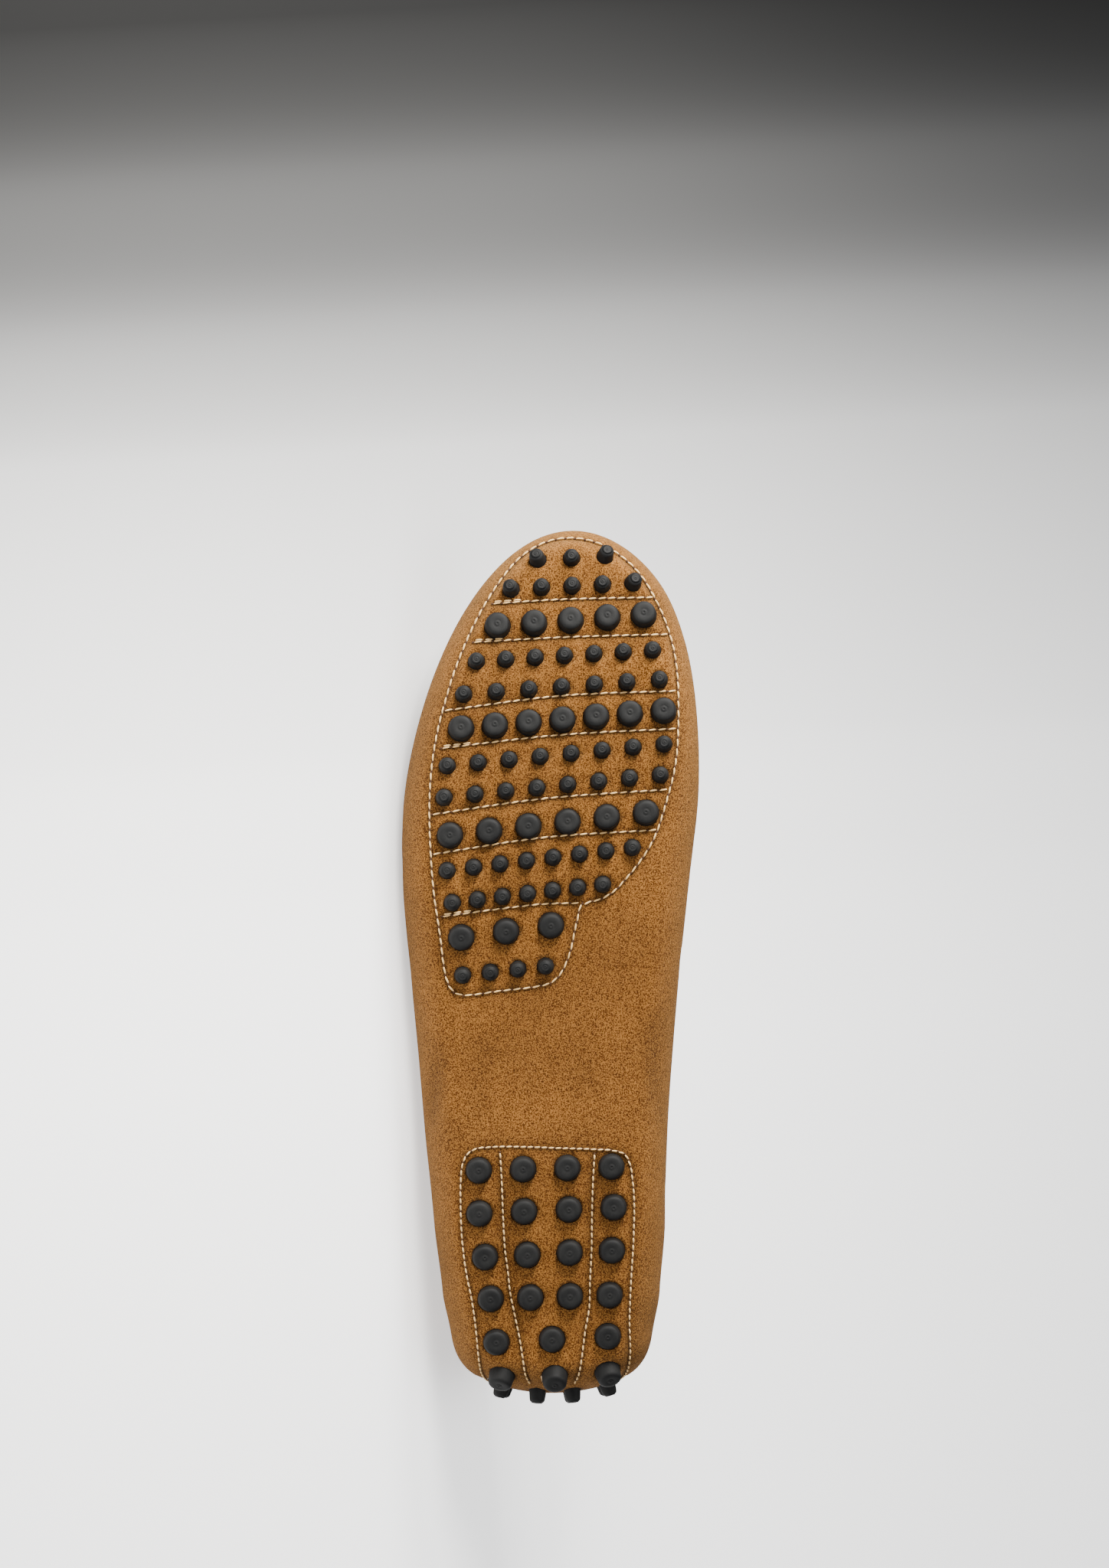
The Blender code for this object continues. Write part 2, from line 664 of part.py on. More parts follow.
def build_forefoot_unit(parts, cutters, rubber, studs):
    """Forefoot unit: a thin plate on the suede inside, with its studs."""
    along = np.array([row.along for row in FOREFOOT_UNIT])
    outer = np.array([row.outer for row in FOREFOOT_UNIT])
    inner = np.array([row.inner for row in FOREFOOT_UNIT])
    shares = np.linspace(0.0, 1.0, UNIT_CELLS + 1)
    x = BALL_WIDTH / 2.0 * (outer[:, None] + (inner - outer)[:, None] * shares)
    y = np.broadcast_to(LENGTH * along[:, None], x.shape)
    patch = (underside(x, y), strip_faces(*x.shape))
    depth = WALL + CLEARANCE
    unit_plate = build_lining_patch(
        "forefoot_studs", depth, UNIT_THICKNESS, patch, parts, cutters, rubber
    )
    fuse_studs(unit_plate, studs, "forefoot_pegs", cutters)
    return unit_plate


def build_heel_unit(parts, cutters, rubber, studs):
    """Heel unit: a plate that turns up the back of the heel and narrows there, with its studs."""
    path = np.linspace(HEEL_UNIT[0].along, HEEL_UNIT[-1].along, HEEL_UNIT_CELLS + 1)
    outer = smooth_column(HEEL_UNIT, "outer", path)
    inner = smooth_column(HEEL_UNIT, "inner", path)
    shares = np.linspace(0.0, 1.0, UNIT_CELLS + 1)
    x = HEEL_WIDTH / 2.0 * (outer[:, None] + (inner - outer)[:, None] * shares)
    distance = HEEL_UNIT_PATH * np.broadcast_to(path[:, None], x.shape)
    patch = (heel_path(x, distance)[0], strip_faces(*x.shape))
    depth = WALL + CLEARANCE
    unit_plate = build_lining_patch("heel_studs", depth, UNIT_THICKNESS, patch, parts, cutters, rubber)
    fuse_studs(unit_plate, studs, "heel_pegs", cutters)
    return unit_plate


def face_down(plate):
    """Turn an open patch's faces to the tread side, so that its thickness grows into the shoe."""
    work = bmesh.new()
    work.from_mesh(plate.data)
    bmesh.ops.recalc_face_normals(work, faces=work.faces)
    work.faces.ensure_lookup_table()
    first = max(work.faces, key=lambda face: face.calc_center_median().y)
    if first.normal.z > 0.0:
        bmesh.ops.reverse_faces(work, faces=work.faces)
    work.to_mesh(plate.data)
    work.free()
    plate.data.shade_smooth()
    plate.data.set_sharp_from_angle(angle=math.radians(SHARP_ANGLE))


def build_insole(parts, cutters, leather):
    """Insole: a leather sheet on the two units, from heel to toe."""
    turns = all_turns()
    x, y = outline(turns)
    toward_x, toward_y = inward(turns)
    x, y = x + INSOLE_MARGIN * toward_x, y + INSOLE_MARGIN * toward_y
    toe = len(turns) // 2
    shares = np.linspace(0.0, 1.0, UNIT_CELLS + 1)
    grid_x = x[1:toe, None] + (x[:toe:-1] - x[1:toe])[:, None] * shares
    grid_y = y[1:toe, None] + (y[:toe:-1] - y[1:toe])[:, None] * shares
    rows, columns = grid_x.shape
    faces = strip_faces(rows, columns)
    first, last = rows * columns, rows * columns + 1
    faces += [(first, c + 1, c) for c in range(columns - 1)]
    faces += [(last, last - 1 - columns + c - 1, last - columns + c - 1) for c in range(1, columns)]
    grid_x = np.concatenate([grid_x.ravel(), [x[0], x[toe]]])
    grid_y = np.concatenate([grid_y.ravel(), [y[0], y[toe]]])
    patch = (underside(grid_x, grid_y), faces)
    depth = WALL + UNIT_THICKNESS + 2.0 * CLEARANCE
    return build_lining_patch("insole", depth, INSOLE_THICKNESS, patch, parts, cutters, leather)


def triangles(objects):
    """Corners of every triangle of the finished objects, in world space."""
    bpy.context.view_layer.update()
    graph = bpy.context.evaluated_depsgraph_get()
    found = []
    for made in objects:
        seen = made.evaluated_get(graph)
        mesh = seen.to_mesh()
        mesh.calc_loop_triangles()
        places = np.empty(len(mesh.vertices) * 3)
        mesh.vertices.foreach_get("co", places)
        corners = np.empty(len(mesh.loop_triangles) * 3, dtype=np.int32)
        mesh.loop_triangles.foreach_get("vertices", corners)
        turned = np.array(seen.matrix_world.to_3x3())
        places = places.reshape(-1, 3) @ turned.T + np.array(seen.matrix_world.translation)
        found.append(places[corners.reshape(-1, 3)])
        seen.to_mesh_clear()
    return np.concatenate(found)


def volume_middle(corners):
    """Centre of volume of closed surfaces: the mean of the tetrahedra from the origin to each triangle."""
    a, b, c = corners[:, 0], corners[:, 1], corners[:, 2]
    volumes = np.einsum("ij,ij->i", a, np.cross(b, c)) / 6.0
    return Vector(((a + b + c) / 4.0 * volumes[:, None]).sum(axis=0) / volumes.sum())


def rest_direction(points, middle):
    """Direction that is down when the shoe lies on its outer side.

    It is the outward normal of the widest face of the convex hull that lies under the middle there.
    """
    work = bmesh.new()
    for point in points:
        work.verts.new(point)
    hull = bmesh.ops.convex_hull(work, input=work.verts)
    widest, down = 0.0, Vector((1.0, 0.0, 0.0))
    for face in hull["geom"]:
        if not isinstance(face, bmesh.types.BMFace) or face.calc_area() < widest:
            continue
        corners = [vertex.co.copy() for vertex in face.verts]
        normal = face.normal * (1.0 if (corners[0] - middle).dot(face.normal) > 0.0 else -1.0)
        foot = middle + normal * (corners[0] - middle).dot(normal)
        sides = [
            (corners[k - 1] - corners[k]).cross(foot - corners[k]).dot(normal) for k in range(len(corners))
        ]
        if normal.x > 0.5 and (min(sides) >= 0.0 or max(sides) <= 0.0):
            widest, down = face.calc_area(), normal.copy()
    work.free()
    return down


def press_flat(made, down, floor):
    """Press what would pass the floor flat against it, as soft suede does under the shoe's weight."""
    places = np.empty(len(made.data.vertices) * 3)
    made.data.vertices.foreach_get("co", places)
    places = places.reshape(-1, 3)
    past = np.clip(places @ np.array(down) - floor, 0.0, None)
    made.data.vertices.foreach_set("co", (places - past[:, None] * np.array(down)).ravel())
    made.data.update()


def lay_on_side(root, pressed, parts):
    """Lay the shoe on its outer side, toe to -X and sole to -Y, with the middle of its box at the origin."""
    corners = triangles(parts.objects)
    points = corners.reshape(-1, 3)
    down = rest_direction(points, volume_middle(corners))
    floor = (points @ np.array(down)).max() - REST_PRESS
    for made in pressed:
        press_flat(made, down, floor)
    toe = Vector((0.0, 1.0, 0.0))
    toe = (toe - down * toe.dot(down)).normalized()
    turned = Matrix((-toe, down.cross(toe), -down))
    placed = triangles(parts.objects).reshape(-1, 3) @ np.array(turned).T
    low, high = placed.min(axis=0), placed.max(axis=0)
    shift = Vector((-(low[0] + high[0]) / 2.0, -(low[1] + high[1]) / 2.0, -low[2]))
    root.matrix_world = Matrix.Translation(shift) @ turned.to_4x4()


for leftover in list(bpy.data.objects):
    bpy.data.objects.remove(leftover, do_unlink=True)

shoe_parts = bpy.data.collections.new("driving_moccasin")
shoe_cutters = bpy.data.collections.new("cutters")
bpy.context.scene.collection.children.link(shoe_parts)
bpy.context.scene.collection.children.link(shoe_cutters)

TAN_SUEDE = material("tan_suede", (0.52, 0.26, 0.07), 0.95)
APRON_SUEDE = material("apron_suede", (0.52, 0.26, 0.07), 0.95)
BINDING_LEATHER = material("binding_leather", (0.38, 0.18, 0.06), 0.6)
LINING_LEATHER = material("insole_leather", (0.55, 0.40, 0.24), 0.6)
FOREFOOT_RUBBER = material("forefoot_rubber", (0.035, 0.037, 0.038), 0.7)
HEEL_RUBBER = material("heel_rubber", (0.035, 0.037, 0.038), 0.7)

frame = bpy.data.objects.new("shoe_frame", None)
shoe_cutters.objects.link(frame)

front_studs = forefoot_studs()
back_studs = heel_studs()
shoe_upper = build_upper(shoe_parts, TAN_SUEDE)
punch_holes(shoe_upper, front_studs, "forefoot_holes", shoe_cutters)
punch_holes(shoe_upper, back_studs, "heel_holes", shoe_cutters)
build_apron(shoe_parts, APRON_SUEDE)
shoe_binding = build_binding(shoe_parts, shoe_cutters, BINDING_LEATHER)
build_forefoot_unit(shoe_parts, shoe_cutters, FOREFOOT_RUBBER, front_studs)
build_heel_unit(shoe_parts, shoe_cutters, HEEL_RUBBER, back_studs)
build_insole(shoe_parts, shoe_cutters, LINING_LEATHER)

for piece in list(shoe_parts.objects) + list(shoe_cutters.objects):
    if piece is not frame:
        piece.parent = frame
lay_on_side(frame, (shoe_upper, shoe_binding), shoe_parts)
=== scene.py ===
import math
from collections import namedtuple

import bpy
import numpy as np
from mathutils import Matrix, Vector


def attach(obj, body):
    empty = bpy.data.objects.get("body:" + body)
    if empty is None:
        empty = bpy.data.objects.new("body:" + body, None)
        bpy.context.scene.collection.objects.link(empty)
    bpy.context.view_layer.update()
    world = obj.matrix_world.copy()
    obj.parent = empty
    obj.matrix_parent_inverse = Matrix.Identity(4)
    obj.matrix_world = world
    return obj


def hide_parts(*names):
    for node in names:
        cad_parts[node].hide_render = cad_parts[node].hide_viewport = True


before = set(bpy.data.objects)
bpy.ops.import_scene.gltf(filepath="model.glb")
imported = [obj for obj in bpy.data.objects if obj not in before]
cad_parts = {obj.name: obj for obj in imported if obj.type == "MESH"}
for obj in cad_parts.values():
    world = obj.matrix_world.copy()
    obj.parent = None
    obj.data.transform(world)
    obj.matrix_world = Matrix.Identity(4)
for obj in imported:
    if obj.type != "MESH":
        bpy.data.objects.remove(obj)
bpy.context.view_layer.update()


# Upper: one suede skin, 2 mm with its lining, that wraps the foot from the collar and the apron seam down
# the sides and under the sole, where it is quilted to the stud units and punched for the studs. It is
# shaped in the shoe's own frame, X to the outer side, Y from heel to toe, Z up, and then laid on its side.
LENGTH = 0.284
BALL_WIDTH = 0.0966
HEEL_WIDTH = 0.0776
BACK_HEIGHT = 0.057
INSTEP_HEIGHT = 0.068
TOE_HEIGHT = 0.028
TOE_SPRING = 0.016
ARCH_RISE = 0.002
EDGE_ROUNDING = 0.011
WIDEST_HEIGHT = 0.016
LATERAL_DROP = 0.003
# Shares of the length where the seat ends, the ball starts, the outer side's drop starts to fade, and the
# arch rises and falls
SEAT_END = 0.20
BALL_START = 0.65
DROP_FADE = 0.30
ARCH_RISING = (0.25, 0.40)
ARCH_FALLING = (0.42, 0.58)
THROAT = 0.46
WALL = 0.002
RIDGE = 0.0012
WALL_PULL = 0.75
CLEARANCE = 0.0003

Plan = namedtuple("Plan", "along breadth swing")
PLAN = (
    Plan(0.019, 0.651, -0.004),
    Plan(0.032, 0.758, -0.004),
    Plan(0.065, 0.853, -0.004),
    Plan(0.116, 0.923, 0.000),
    Plan(0.200, 0.984, 0.012),
    Plan(0.300, 0.998, 0.033),
    Plan(0.400, 0.984, 0.039),
    Plan(0.500, 0.975, 0.042),
    Plan(0.600, 0.986, 0.034),
    Plan(0.700, 1.000, -0.006),
    Plan(0.790, 0.936, -0.056),
    Plan(0.875, 0.798, -0.109),
    Plan(0.947, 0.562, -0.146),
    Plan(0.975, 0.394, -0.150),
)

Section = namedtuple("Section", "along height inset widest edge belly lean crown")
SECTIONS = (
    Section(0.00, 1.000, 0.21, 1.35, 1.05, 0.36, 80, 0.50),
    Section(0.10, 0.930, 0.23, 1.25, 1.05, 0.32, 79, 0.50),
    Section(0.20, 0.825, 0.26, 1.18, 1.00, 0.24, 76, 0.50),
    Section(0.30, 0.734, 0.29, 1.12, 1.00, 0.20, 72, 0.50),
    Section(0.40, 0.737, 0.34, 1.06, 1.00, 0.20, 60, 0.50),
    Section(0.46, 0.790, 0.38, 1.04, 1.00, 0.22, 48, 0.50),
    Section(0.55, 0.790, 0.41, 1.00, 1.00, 0.30, 38, 0.34),
    Section(0.65, 0.790, 0.425, 0.95, 1.00, 0.38, 28, 0.26),
    Section(0.75, 0.830, 0.41, 0.88, 0.95, 0.40, 26, 0.24),
    Section(0.85, 0.900, 0.39, 0.80, 0.90, 0.42, 23, 0.21),
    Section(0.93, 0.970, 0.38, 0.77, 0.86, 0.42, 20, 0.18),
    Section(1.00, 1.000, 0.39, 0.75, 0.82, 0.42, 17, 0.15),
)

Tread = namedtuple("Tread", "along rise")
TREAD = (
    Tread(0.00, 0.0),
    Tread(0.56, 0.0),
    Tread(0.66, 0.04),
    Tread(0.78, 0.24),
    Tread(0.90, 0.61),
    Tread(1.00, 1.0),
)

# The turn and shift that lay the shoe on its outer side, toe to -X, sole to -Y
LYING = np.array(
    (
        (-0.026679, -0.999556, -0.013239),
        (-0.444519, 0.000000, 0.895769),
        (-0.895372, 0.029783, -0.444322),
    )
)
LYING_SHIFT = np.array((0.139927, -0.023015, 0.046988))


def smoothstep(value, low, high):
    """Share that eases from 0 at low to 1 at high."""
    share = np.clip((value - low) / (high - low), 0.0, 1.0)
    return share * share * (3.0 - 2.0 * share)


def unit(vectors):
    """Each vector at length 1."""
    return vectors / np.maximum(np.linalg.norm(vectors, axis=-1, keepdims=True), 1e-12)


def smooth_column(table, column, at):
    """Cubic curve through one column of a table, level with the end rows outside."""
    along = np.array([row.along for row in table])
    values = np.array([getattr(row, column) for row in table], dtype=float)
    slopes = np.gradient(values, along)
    cell = np.clip(np.searchsorted(along, at) - 1, 0, len(along) - 2)
    width = along[cell + 1] - along[cell]
    share = np.clip((at - along[cell]) / width, 0.0, 1.0)
    rest = 1.0 - share
    return (
        (1.0 + 2.0 * share) * rest**2 * values[cell]
        + share * rest**2 * width * slopes[cell]
        + share**2 * (3.0 - 2.0 * share) * values[cell + 1]
        - share**2 * rest * width * slopes[cell + 1]
    )


def along_of(turn):
    """Share of the length at a turn round the outline, which is 0 at the heel and pi at the toe."""
    return (1.0 - np.cos(turn)) / 2.0


def half_width(along):
    """Half the last's width, from heel to ball."""
    return (HEEL_WIDTH + (BALL_WIDTH - HEEL_WIDTH) * smoothstep(along, SEAT_END, BALL_START)) / 2.0


def full_height(along):
    """Height that the rim's share is taken of: back, then instep, then toe."""
    instep = smoothstep(along, SEAT_END, THROAT)
    toe = smoothstep(along, THROAT, 1.0)
    return BACK_HEIGHT + (INSTEP_HEIGHT - BACK_HEIGHT) * instep + (TOE_HEIGHT - INSTEP_HEIGHT) * toe


def outline(turn):
    """Plan outline: an ellipse of the shoe's length, its half width times the fullness that PLAN gives."""
    along = along_of(turn)
    table = [Plan(r.along, r.breadth / (2.0 * math.sqrt(r.along * (1.0 - r.along))), r.swing) for r in PLAN]
    swing = smooth_column(PLAN, "swing", along) * BALL_WIDTH / 2.0
    return swing + half_width(along) * smooth_column(table, "breadth", along) * np.sin(turn), LENGTH * along


def inward(turn):
    """Unit vector in plan from the outline towards the inside of the shoe."""
    step = 0.002
    x0, y0 = outline(turn - step)
    x1, y1 = outline(turn + step)
    length = np.hypot(x1 - x0, y1 - y0)
    return -(y1 - y0) / length, (x1 - x0) / length


def tread_height(y):
    """Height of the underside's middle line: the arch's low hump and the toe spring."""
    along = y / LENGTH
    arch = smoothstep(along, *ARCH_RISING) - smoothstep(along, *ARCH_FALLING)
    return ARCH_RISE * arch + TOE_SPRING * smooth_column(TREAD, "rise", along)


def wall(turn, rise):
    """Suede's outer surface: a quarter ellipse from the tread's edge (rise 0) to the widest line (1), then a
    cubic curve that starts upright and reaches the rim (2) at the section's lean."""
    turn, rise = np.broadcast_arrays(np.asarray(turn, float), np.asarray(rise, float))
    along = along_of(turn)
    edge = EDGE_ROUNDING * smooth_column(SECTIONS, "edge", along)
    widest = WIDEST_HEIGHT * smooth_column(SECTIONS, "widest", along)
    drop = LATERAL_DROP * np.clip(np.sin(turn), 0.0, 1.0) * (1.0 - smoothstep(along, DROP_FADE, THROAT))
    rim = full_height(along) * smooth_column(SECTIONS, "height", along) - drop
    inset = half_width(along) * smooth_column(SECTIONS, "inset", along)
    lean = np.radians(smooth_column(SECTIONS, "lean", along))
    low = np.clip(rise, 0.0, 1.0) * math.pi / 2.0
    high = np.clip(rise - 1.0, 0.0, 1.0)
    belly = smooth_column(SECTIONS, "belly", along)
    reach = WALL_PULL * belly * np.hypot(inset, rim - widest)
    end_inset, end_height = inset - reach * np.cos(lean), rim - reach * np.sin(lean)
    high_inset = 3.0 * (1.0 - high) * high**2 * end_inset + high**3 * inset
    high_height = (
        (1.0 - high) ** 3 * widest
        + 3.0 * (1.0 - high) ** 2 * high * (widest + belly * (rim - widest))
        + 3.0 * (1.0 - high) * high**2 * end_height
        + high**3 * rim
    )
    depth = np.where(rise > 1.0, high_inset, edge * (1.0 - np.sin(low)))
    height = np.where(rise > 1.0, high_height, widest * (1.0 - np.cos(low)))
    x, y = outline(turn)
    toward_x, toward_y = inward(turn)
    x, y = x + depth * toward_x, y + depth * toward_y
    return np.stack([x, y, tread_height(y) + height], axis=-1)


SLOPE_STEP = 0.004
# Rise just under the rim, where the wall has a slope on both sides
NEAR_RIM = 1.99


def wall_up(turn, rise):
    """Unit vector up the wall, across the rim."""
    return unit(wall(turn, rise) - wall(turn, np.asarray(rise) - SLOPE_STEP))


def wall_normal(turn, rise):
    """Outward unit normal of the wall, from its slopes both ways."""
    turn, rise = np.asarray(turn, float), np.asarray(rise)
    sideways = wall(turn + SLOPE_STEP, rise) - wall(turn - SLOPE_STEP, rise)
    upward = wall(turn, rise + SLOPE_STEP) - wall(turn, rise - SLOPE_STEP)
    return unit(np.cross(sideways, upward))


def nearest(points, samples, block=4000):
    """Each point's distance to the nearest sample and that sample's index, a block of points at a time."""
    distance, index = np.empty(len(points)), np.empty(len(points), int)
    squares = (samples**2).sum(axis=1)
    for start in range(0, len(points), block):
        part = slice(start, start + block)
        gaps = (points[part]**2).sum(axis=1)[:, None] + squares - 2.0 * points[part] @ samples.T
        index[part] = gaps.argmin(axis=1)
        distance[part] = np.sqrt(np.maximum(gaps.min(axis=1), 0.0))
    return distance, index


def underside(x, y, samples=720, steepest=0.995):
    """Suede's outer surface under plan point (x, y): the tread, rounded up near the outline as a quarter
    ellipse of the distance to the outline's nearest sample."""
    turns = np.arange(samples) * 2.0 * math.pi / samples
    gap, index = nearest(np.stack([x.ravel(), y.ravel()], axis=-1), np.stack(outline(turns), axis=-1))
    gap, along = gap.reshape(x.shape), along_of(turns[index]).reshape(x.shape)
    edge = EDGE_ROUNDING * smooth_column(SECTIONS, "edge", along)
    widest = WIDEST_HEIGHT * smooth_column(SECTIONS, "widest", along)
    share = np.clip(1.0 - gap / edge, 0.0, steepest)
    return np.stack([x, y, tread_height(y) + widest * (1.0 - np.sqrt(1.0 - share**2))], axis=-1)


def underside_normal(x, y):
    """Outward unit normal of the underside, which points down."""
    step = 0.0004
    ahead = underside(x, y + step) - underside(x, y - step)
    across = underside(x + step, y) - underside(x - step, y)
    return unit(np.cross(ahead, across))


HEEL_UNIT_LENGTH = 0.080
# The heel's sheet: how far it starts ahead of the unit and reaches behind the unit's front edge, and the
# turns of the outline that it spans
HEEL_LEAD = 0.006
HEEL_REACH = 0.130
HEEL_TURN = 1.3
FINE_SAMPLES = 3600


def heel_sheet(columns):
    """The heel's surface by distance along the suede, at each column across: places, normals, distances.

    Each column's section runs back along the underside and its round edge, then up the back of the wall.
    """
    edge_turns = np.linspace(-HEEL_TURN, HEEL_TURN, 521)
    rises = np.linspace(1.0, NEAR_RIM, 60)
    back = wall(edge_turns[:, None], rises[None, :])
    distances = np.linspace(-HEEL_LEAD, HEEL_REACH, 137)
    edge_x, edge_y = outline(edge_turns)
    end_y = np.interp(columns, edge_x, edge_y)[:, None]
    share = 1.0 - np.sin(np.linspace(0.0, 1.0, 140) * math.pi / 2.0)
    level_y = end_y + (HEEL_UNIT_LENGTH + HEEL_LEAD - end_y) * share
    under = underside(np.broadcast_to(columns[:, None], level_y.shape), level_y, FINE_SAMPLES, 1.0)
    places = []
    for across, level in zip(columns, under):
        turns = np.array([np.interp(across, back[:, k, 0], edge_turns) for k in range(len(rises))])
        line = np.concatenate([level, wall(turns, rises)[1:]])
        arc = np.concatenate([[0.0], np.cumsum(np.linalg.norm(np.diff(line, axis=0), axis=1))])
        arc -= np.interp(-HEEL_UNIT_LENGTH, -level[:, 1], arc[: len(level)])
        places.append(np.stack([np.interp(distances, arc, line[:, k]) for k in range(3)], axis=-1))
    places = np.array(places)
    return places, unit(np.cross(np.gradient(places, axis=0), np.gradient(places, axis=1))), distances


HEEL_COLUMNS = np.linspace(-0.033, 0.033, 45)
HEEL_PLACES, HEEL_NORMALS, HEEL_DISTANCES = heel_sheet(HEEL_COLUMNS)


def heel_place(across, distance):
    """Place and normal on the heel, read between the columns and distances of the heel's sheet."""
    c = np.interp(across, HEEL_COLUMNS, np.arange(len(HEEL_COLUMNS)))
    d = np.interp(distance, HEEL_DISTANCES, np.arange(len(HEEL_DISTANCES)))
    c0 = np.minimum(c.astype(int), len(HEEL_COLUMNS) - 2)
    d0 = np.minimum(d.astype(int), len(HEEL_DISTANCES) - 2)
    u, v = (c - c0)[..., None], (d - d0)[..., None]

    def read(grid):
        low = grid[c0, d0] * (1.0 - u) + grid[c0 + 1, d0] * u
        high = grid[c0, d0 + 1] * (1.0 - u) + grid[c0 + 1, d0 + 1] * u
        return low * (1.0 - v) + high * v

    return read(HEEL_PLACES), unit(read(HEEL_NORMALS))


# The stud units' studs, because their holes are cut in the suede: each row's ends are shares of the length
# or of the heel unit's path up the back, and of half the width there
BIG_STUD = 0.0086
SMALL_STUD = 0.0056
HEEL_UNIT_PATH = 0.1205

StudRow = namedtuple("StudRow", "size count outer_along outer_across inner_along inner_across")
FOREFOOT_ROWS = (
    StudRow("small", 3, 0.964, 0.091, 0.968, -0.366),
    StudRow("small", 5, 0.930, 0.274, 0.937, -0.555),
    StudRow("big", 5, 0.887, 0.366, 0.900, -0.628),
    StudRow("small", 7, 0.846, 0.509, 0.859, -0.687),
    StudRow("small", 7, 0.808, 0.595, 0.825, -0.733),
    StudRow("big", 7, 0.7685, 0.612, 0.789, -0.760),
    StudRow("small", 8, 0.7255, 0.706, 0.7505, -0.762),
    StudRow("small", 8, 0.689, 0.727, 0.715, -0.737),
    StudRow("big", 6, 0.6455, 0.687, 0.6715, -0.639),
    StudRow("small", 8, 0.605, 0.706, 0.6315, -0.547),
    StudRow("small", 7, 0.568, 0.671, 0.589, -0.346),
    StudRow("big", 3, 0.528, 0.610, 0.542, 0.004),
    StudRow("small", 4, 0.4845, 0.601, 0.495, 0.041),
)
HeelRow = namedtuple("HeelRow", "size count outer_path outer_across inner_path inner_across")
HEEL_ROWS = (
    HeelRow("big", 4, 0.051, 0.612, 0.041, -0.505),
    HeelRow("big", 4, 0.168, 0.608, 0.151, -0.523),
    HeelRow("big", 4, 0.286, 0.560, 0.268, -0.508),
    HeelRow("big", 4, 0.399, 0.512, 0.389, -0.489),
    HeelRow("big", 3, 0.517, 0.465, 0.501, -0.474),
    HeelRow("big", 3, 0.622, 0.415, 0.606, -0.470),
    HeelRow("small", 4, 0.713, 0.410, 0.713, -0.470),
    HeelRow("small", 4, 0.801, 0.385, 0.801, -0.445),
    HeelRow("small", 2, 0.889, 0.115, 0.889, -0.155),
)


def row_places(rows):
    """Evenly spaced places from each row's outer end to its inner end, and each stud's radius."""
    ends = [(row.count, np.array(row[2:4]), np.array(row[4:6]), row.size) for row in rows]
    places = np.concatenate([a + (b - a) * np.linspace(0.0, 1.0, n)[:, None] for n, a, b, _ in ends])
    sizes = np.concatenate([np.full(n, BIG_STUD if s == "big" else SMALL_STUD) for n, _, _, s in ends])
    return places[:, 0], places[:, 1], sizes / 2.0


fore_along, fore_across, FORE_RADIUS = row_places(FOREFOOT_ROWS)
fore_x, fore_y = fore_across * BALL_WIDTH / 2.0, fore_along * LENGTH
FORE_BASE, FORE_AXIS = underside(fore_x, fore_y), underside_normal(fore_x, fore_y)
heel_path, heel_across, HEEL_RADIUS = row_places(HEEL_ROWS)
HEEL_BASE, HEEL_AXIS = heel_place(heel_across * HEEL_WIDTH / 2.0, heel_path * HEEL_UNIT_PATH)

# Sewn lines, in millimetres: across and along the shoe under the forefoot, across and along the suede from
# the heel unit's front edge on the heel
FOREFOOT_SEAM = (
    (-7.9, 281.0), (-13.5, 280.0), (-21.2, 276.3), (-28.4, 269.9), (-34.2, 260.6), (-37.7, 252.5),
    (-40.2, 243.4), (-41.3, 234.5), (-41.5, 225.4), (-41.4, 217.5), (-40.8, 208.9), (-39.6, 202.0),
    (-38.0, 195.9), (-36.2, 189.8), (-34.4, 184.4), (-32.0, 179.5), (-28.9, 174.8), (-24.7, 169.6),
    (-20.5, 165.2), (-16.2, 162.6), (-11.8, 161.3), (-9.7, 160.2), (-8.6, 156.5), (-7.4, 151.2),
    (-6.4, 146.4), (-4.9, 141.9), (-2.7, 137.8), (0.2, 135.2), (4.4, 134.0), (11.0, 133.1), (18.1, 132.3),
    (24.3, 131.4), (27.6, 131.1), (30.5, 131.5), (32.8, 133.2), (34.2, 136.2), (35.3, 141.5),
    (36.1, 148.3), (37.1, 155.3), (38.2, 162.8), (39.1, 172.3), (39.7, 184.0), (39.8, 194.0),
    (39.3, 203.5), (38.2, 212.0), (36.4, 220.8), (34.3, 228.4), (32.3, 235.2), (30.2, 240.9),
    (27.9, 246.6), (25.2, 252.5), (22.3, 258.0), (19.1, 263.3), (15.4, 268.6), (11.5, 273.3),
    (7.7, 276.5), (3.0, 279.2), (-2.6, 280.8),
)
CROSS_SEAMS = (
    ((19.3, 259.3), (-1.4, 260.6), (-33.6, 261.4)),
    ((25.6, 246.6), (-5.8, 248.3), (-38.4, 249.2)),
    ((35.1, 224.1), (-3.5, 229.0), (-41.0, 230.6)),
    ((36.0, 211.8), (-3.5, 216.2), (-41.0, 218.2)),
    ((39.2, 190.1), (2.6, 195.3), (-38.2, 198.3)),
    ((39.0, 177.1), (2.6, 182.6), (-34.6, 185.1)),
    ((35.8, 156.8), (12.9, 159.8), (2.6, 160.9), (-9.3, 161.2)),
)
BACK_TACKED = (0, 1, 3, 6)
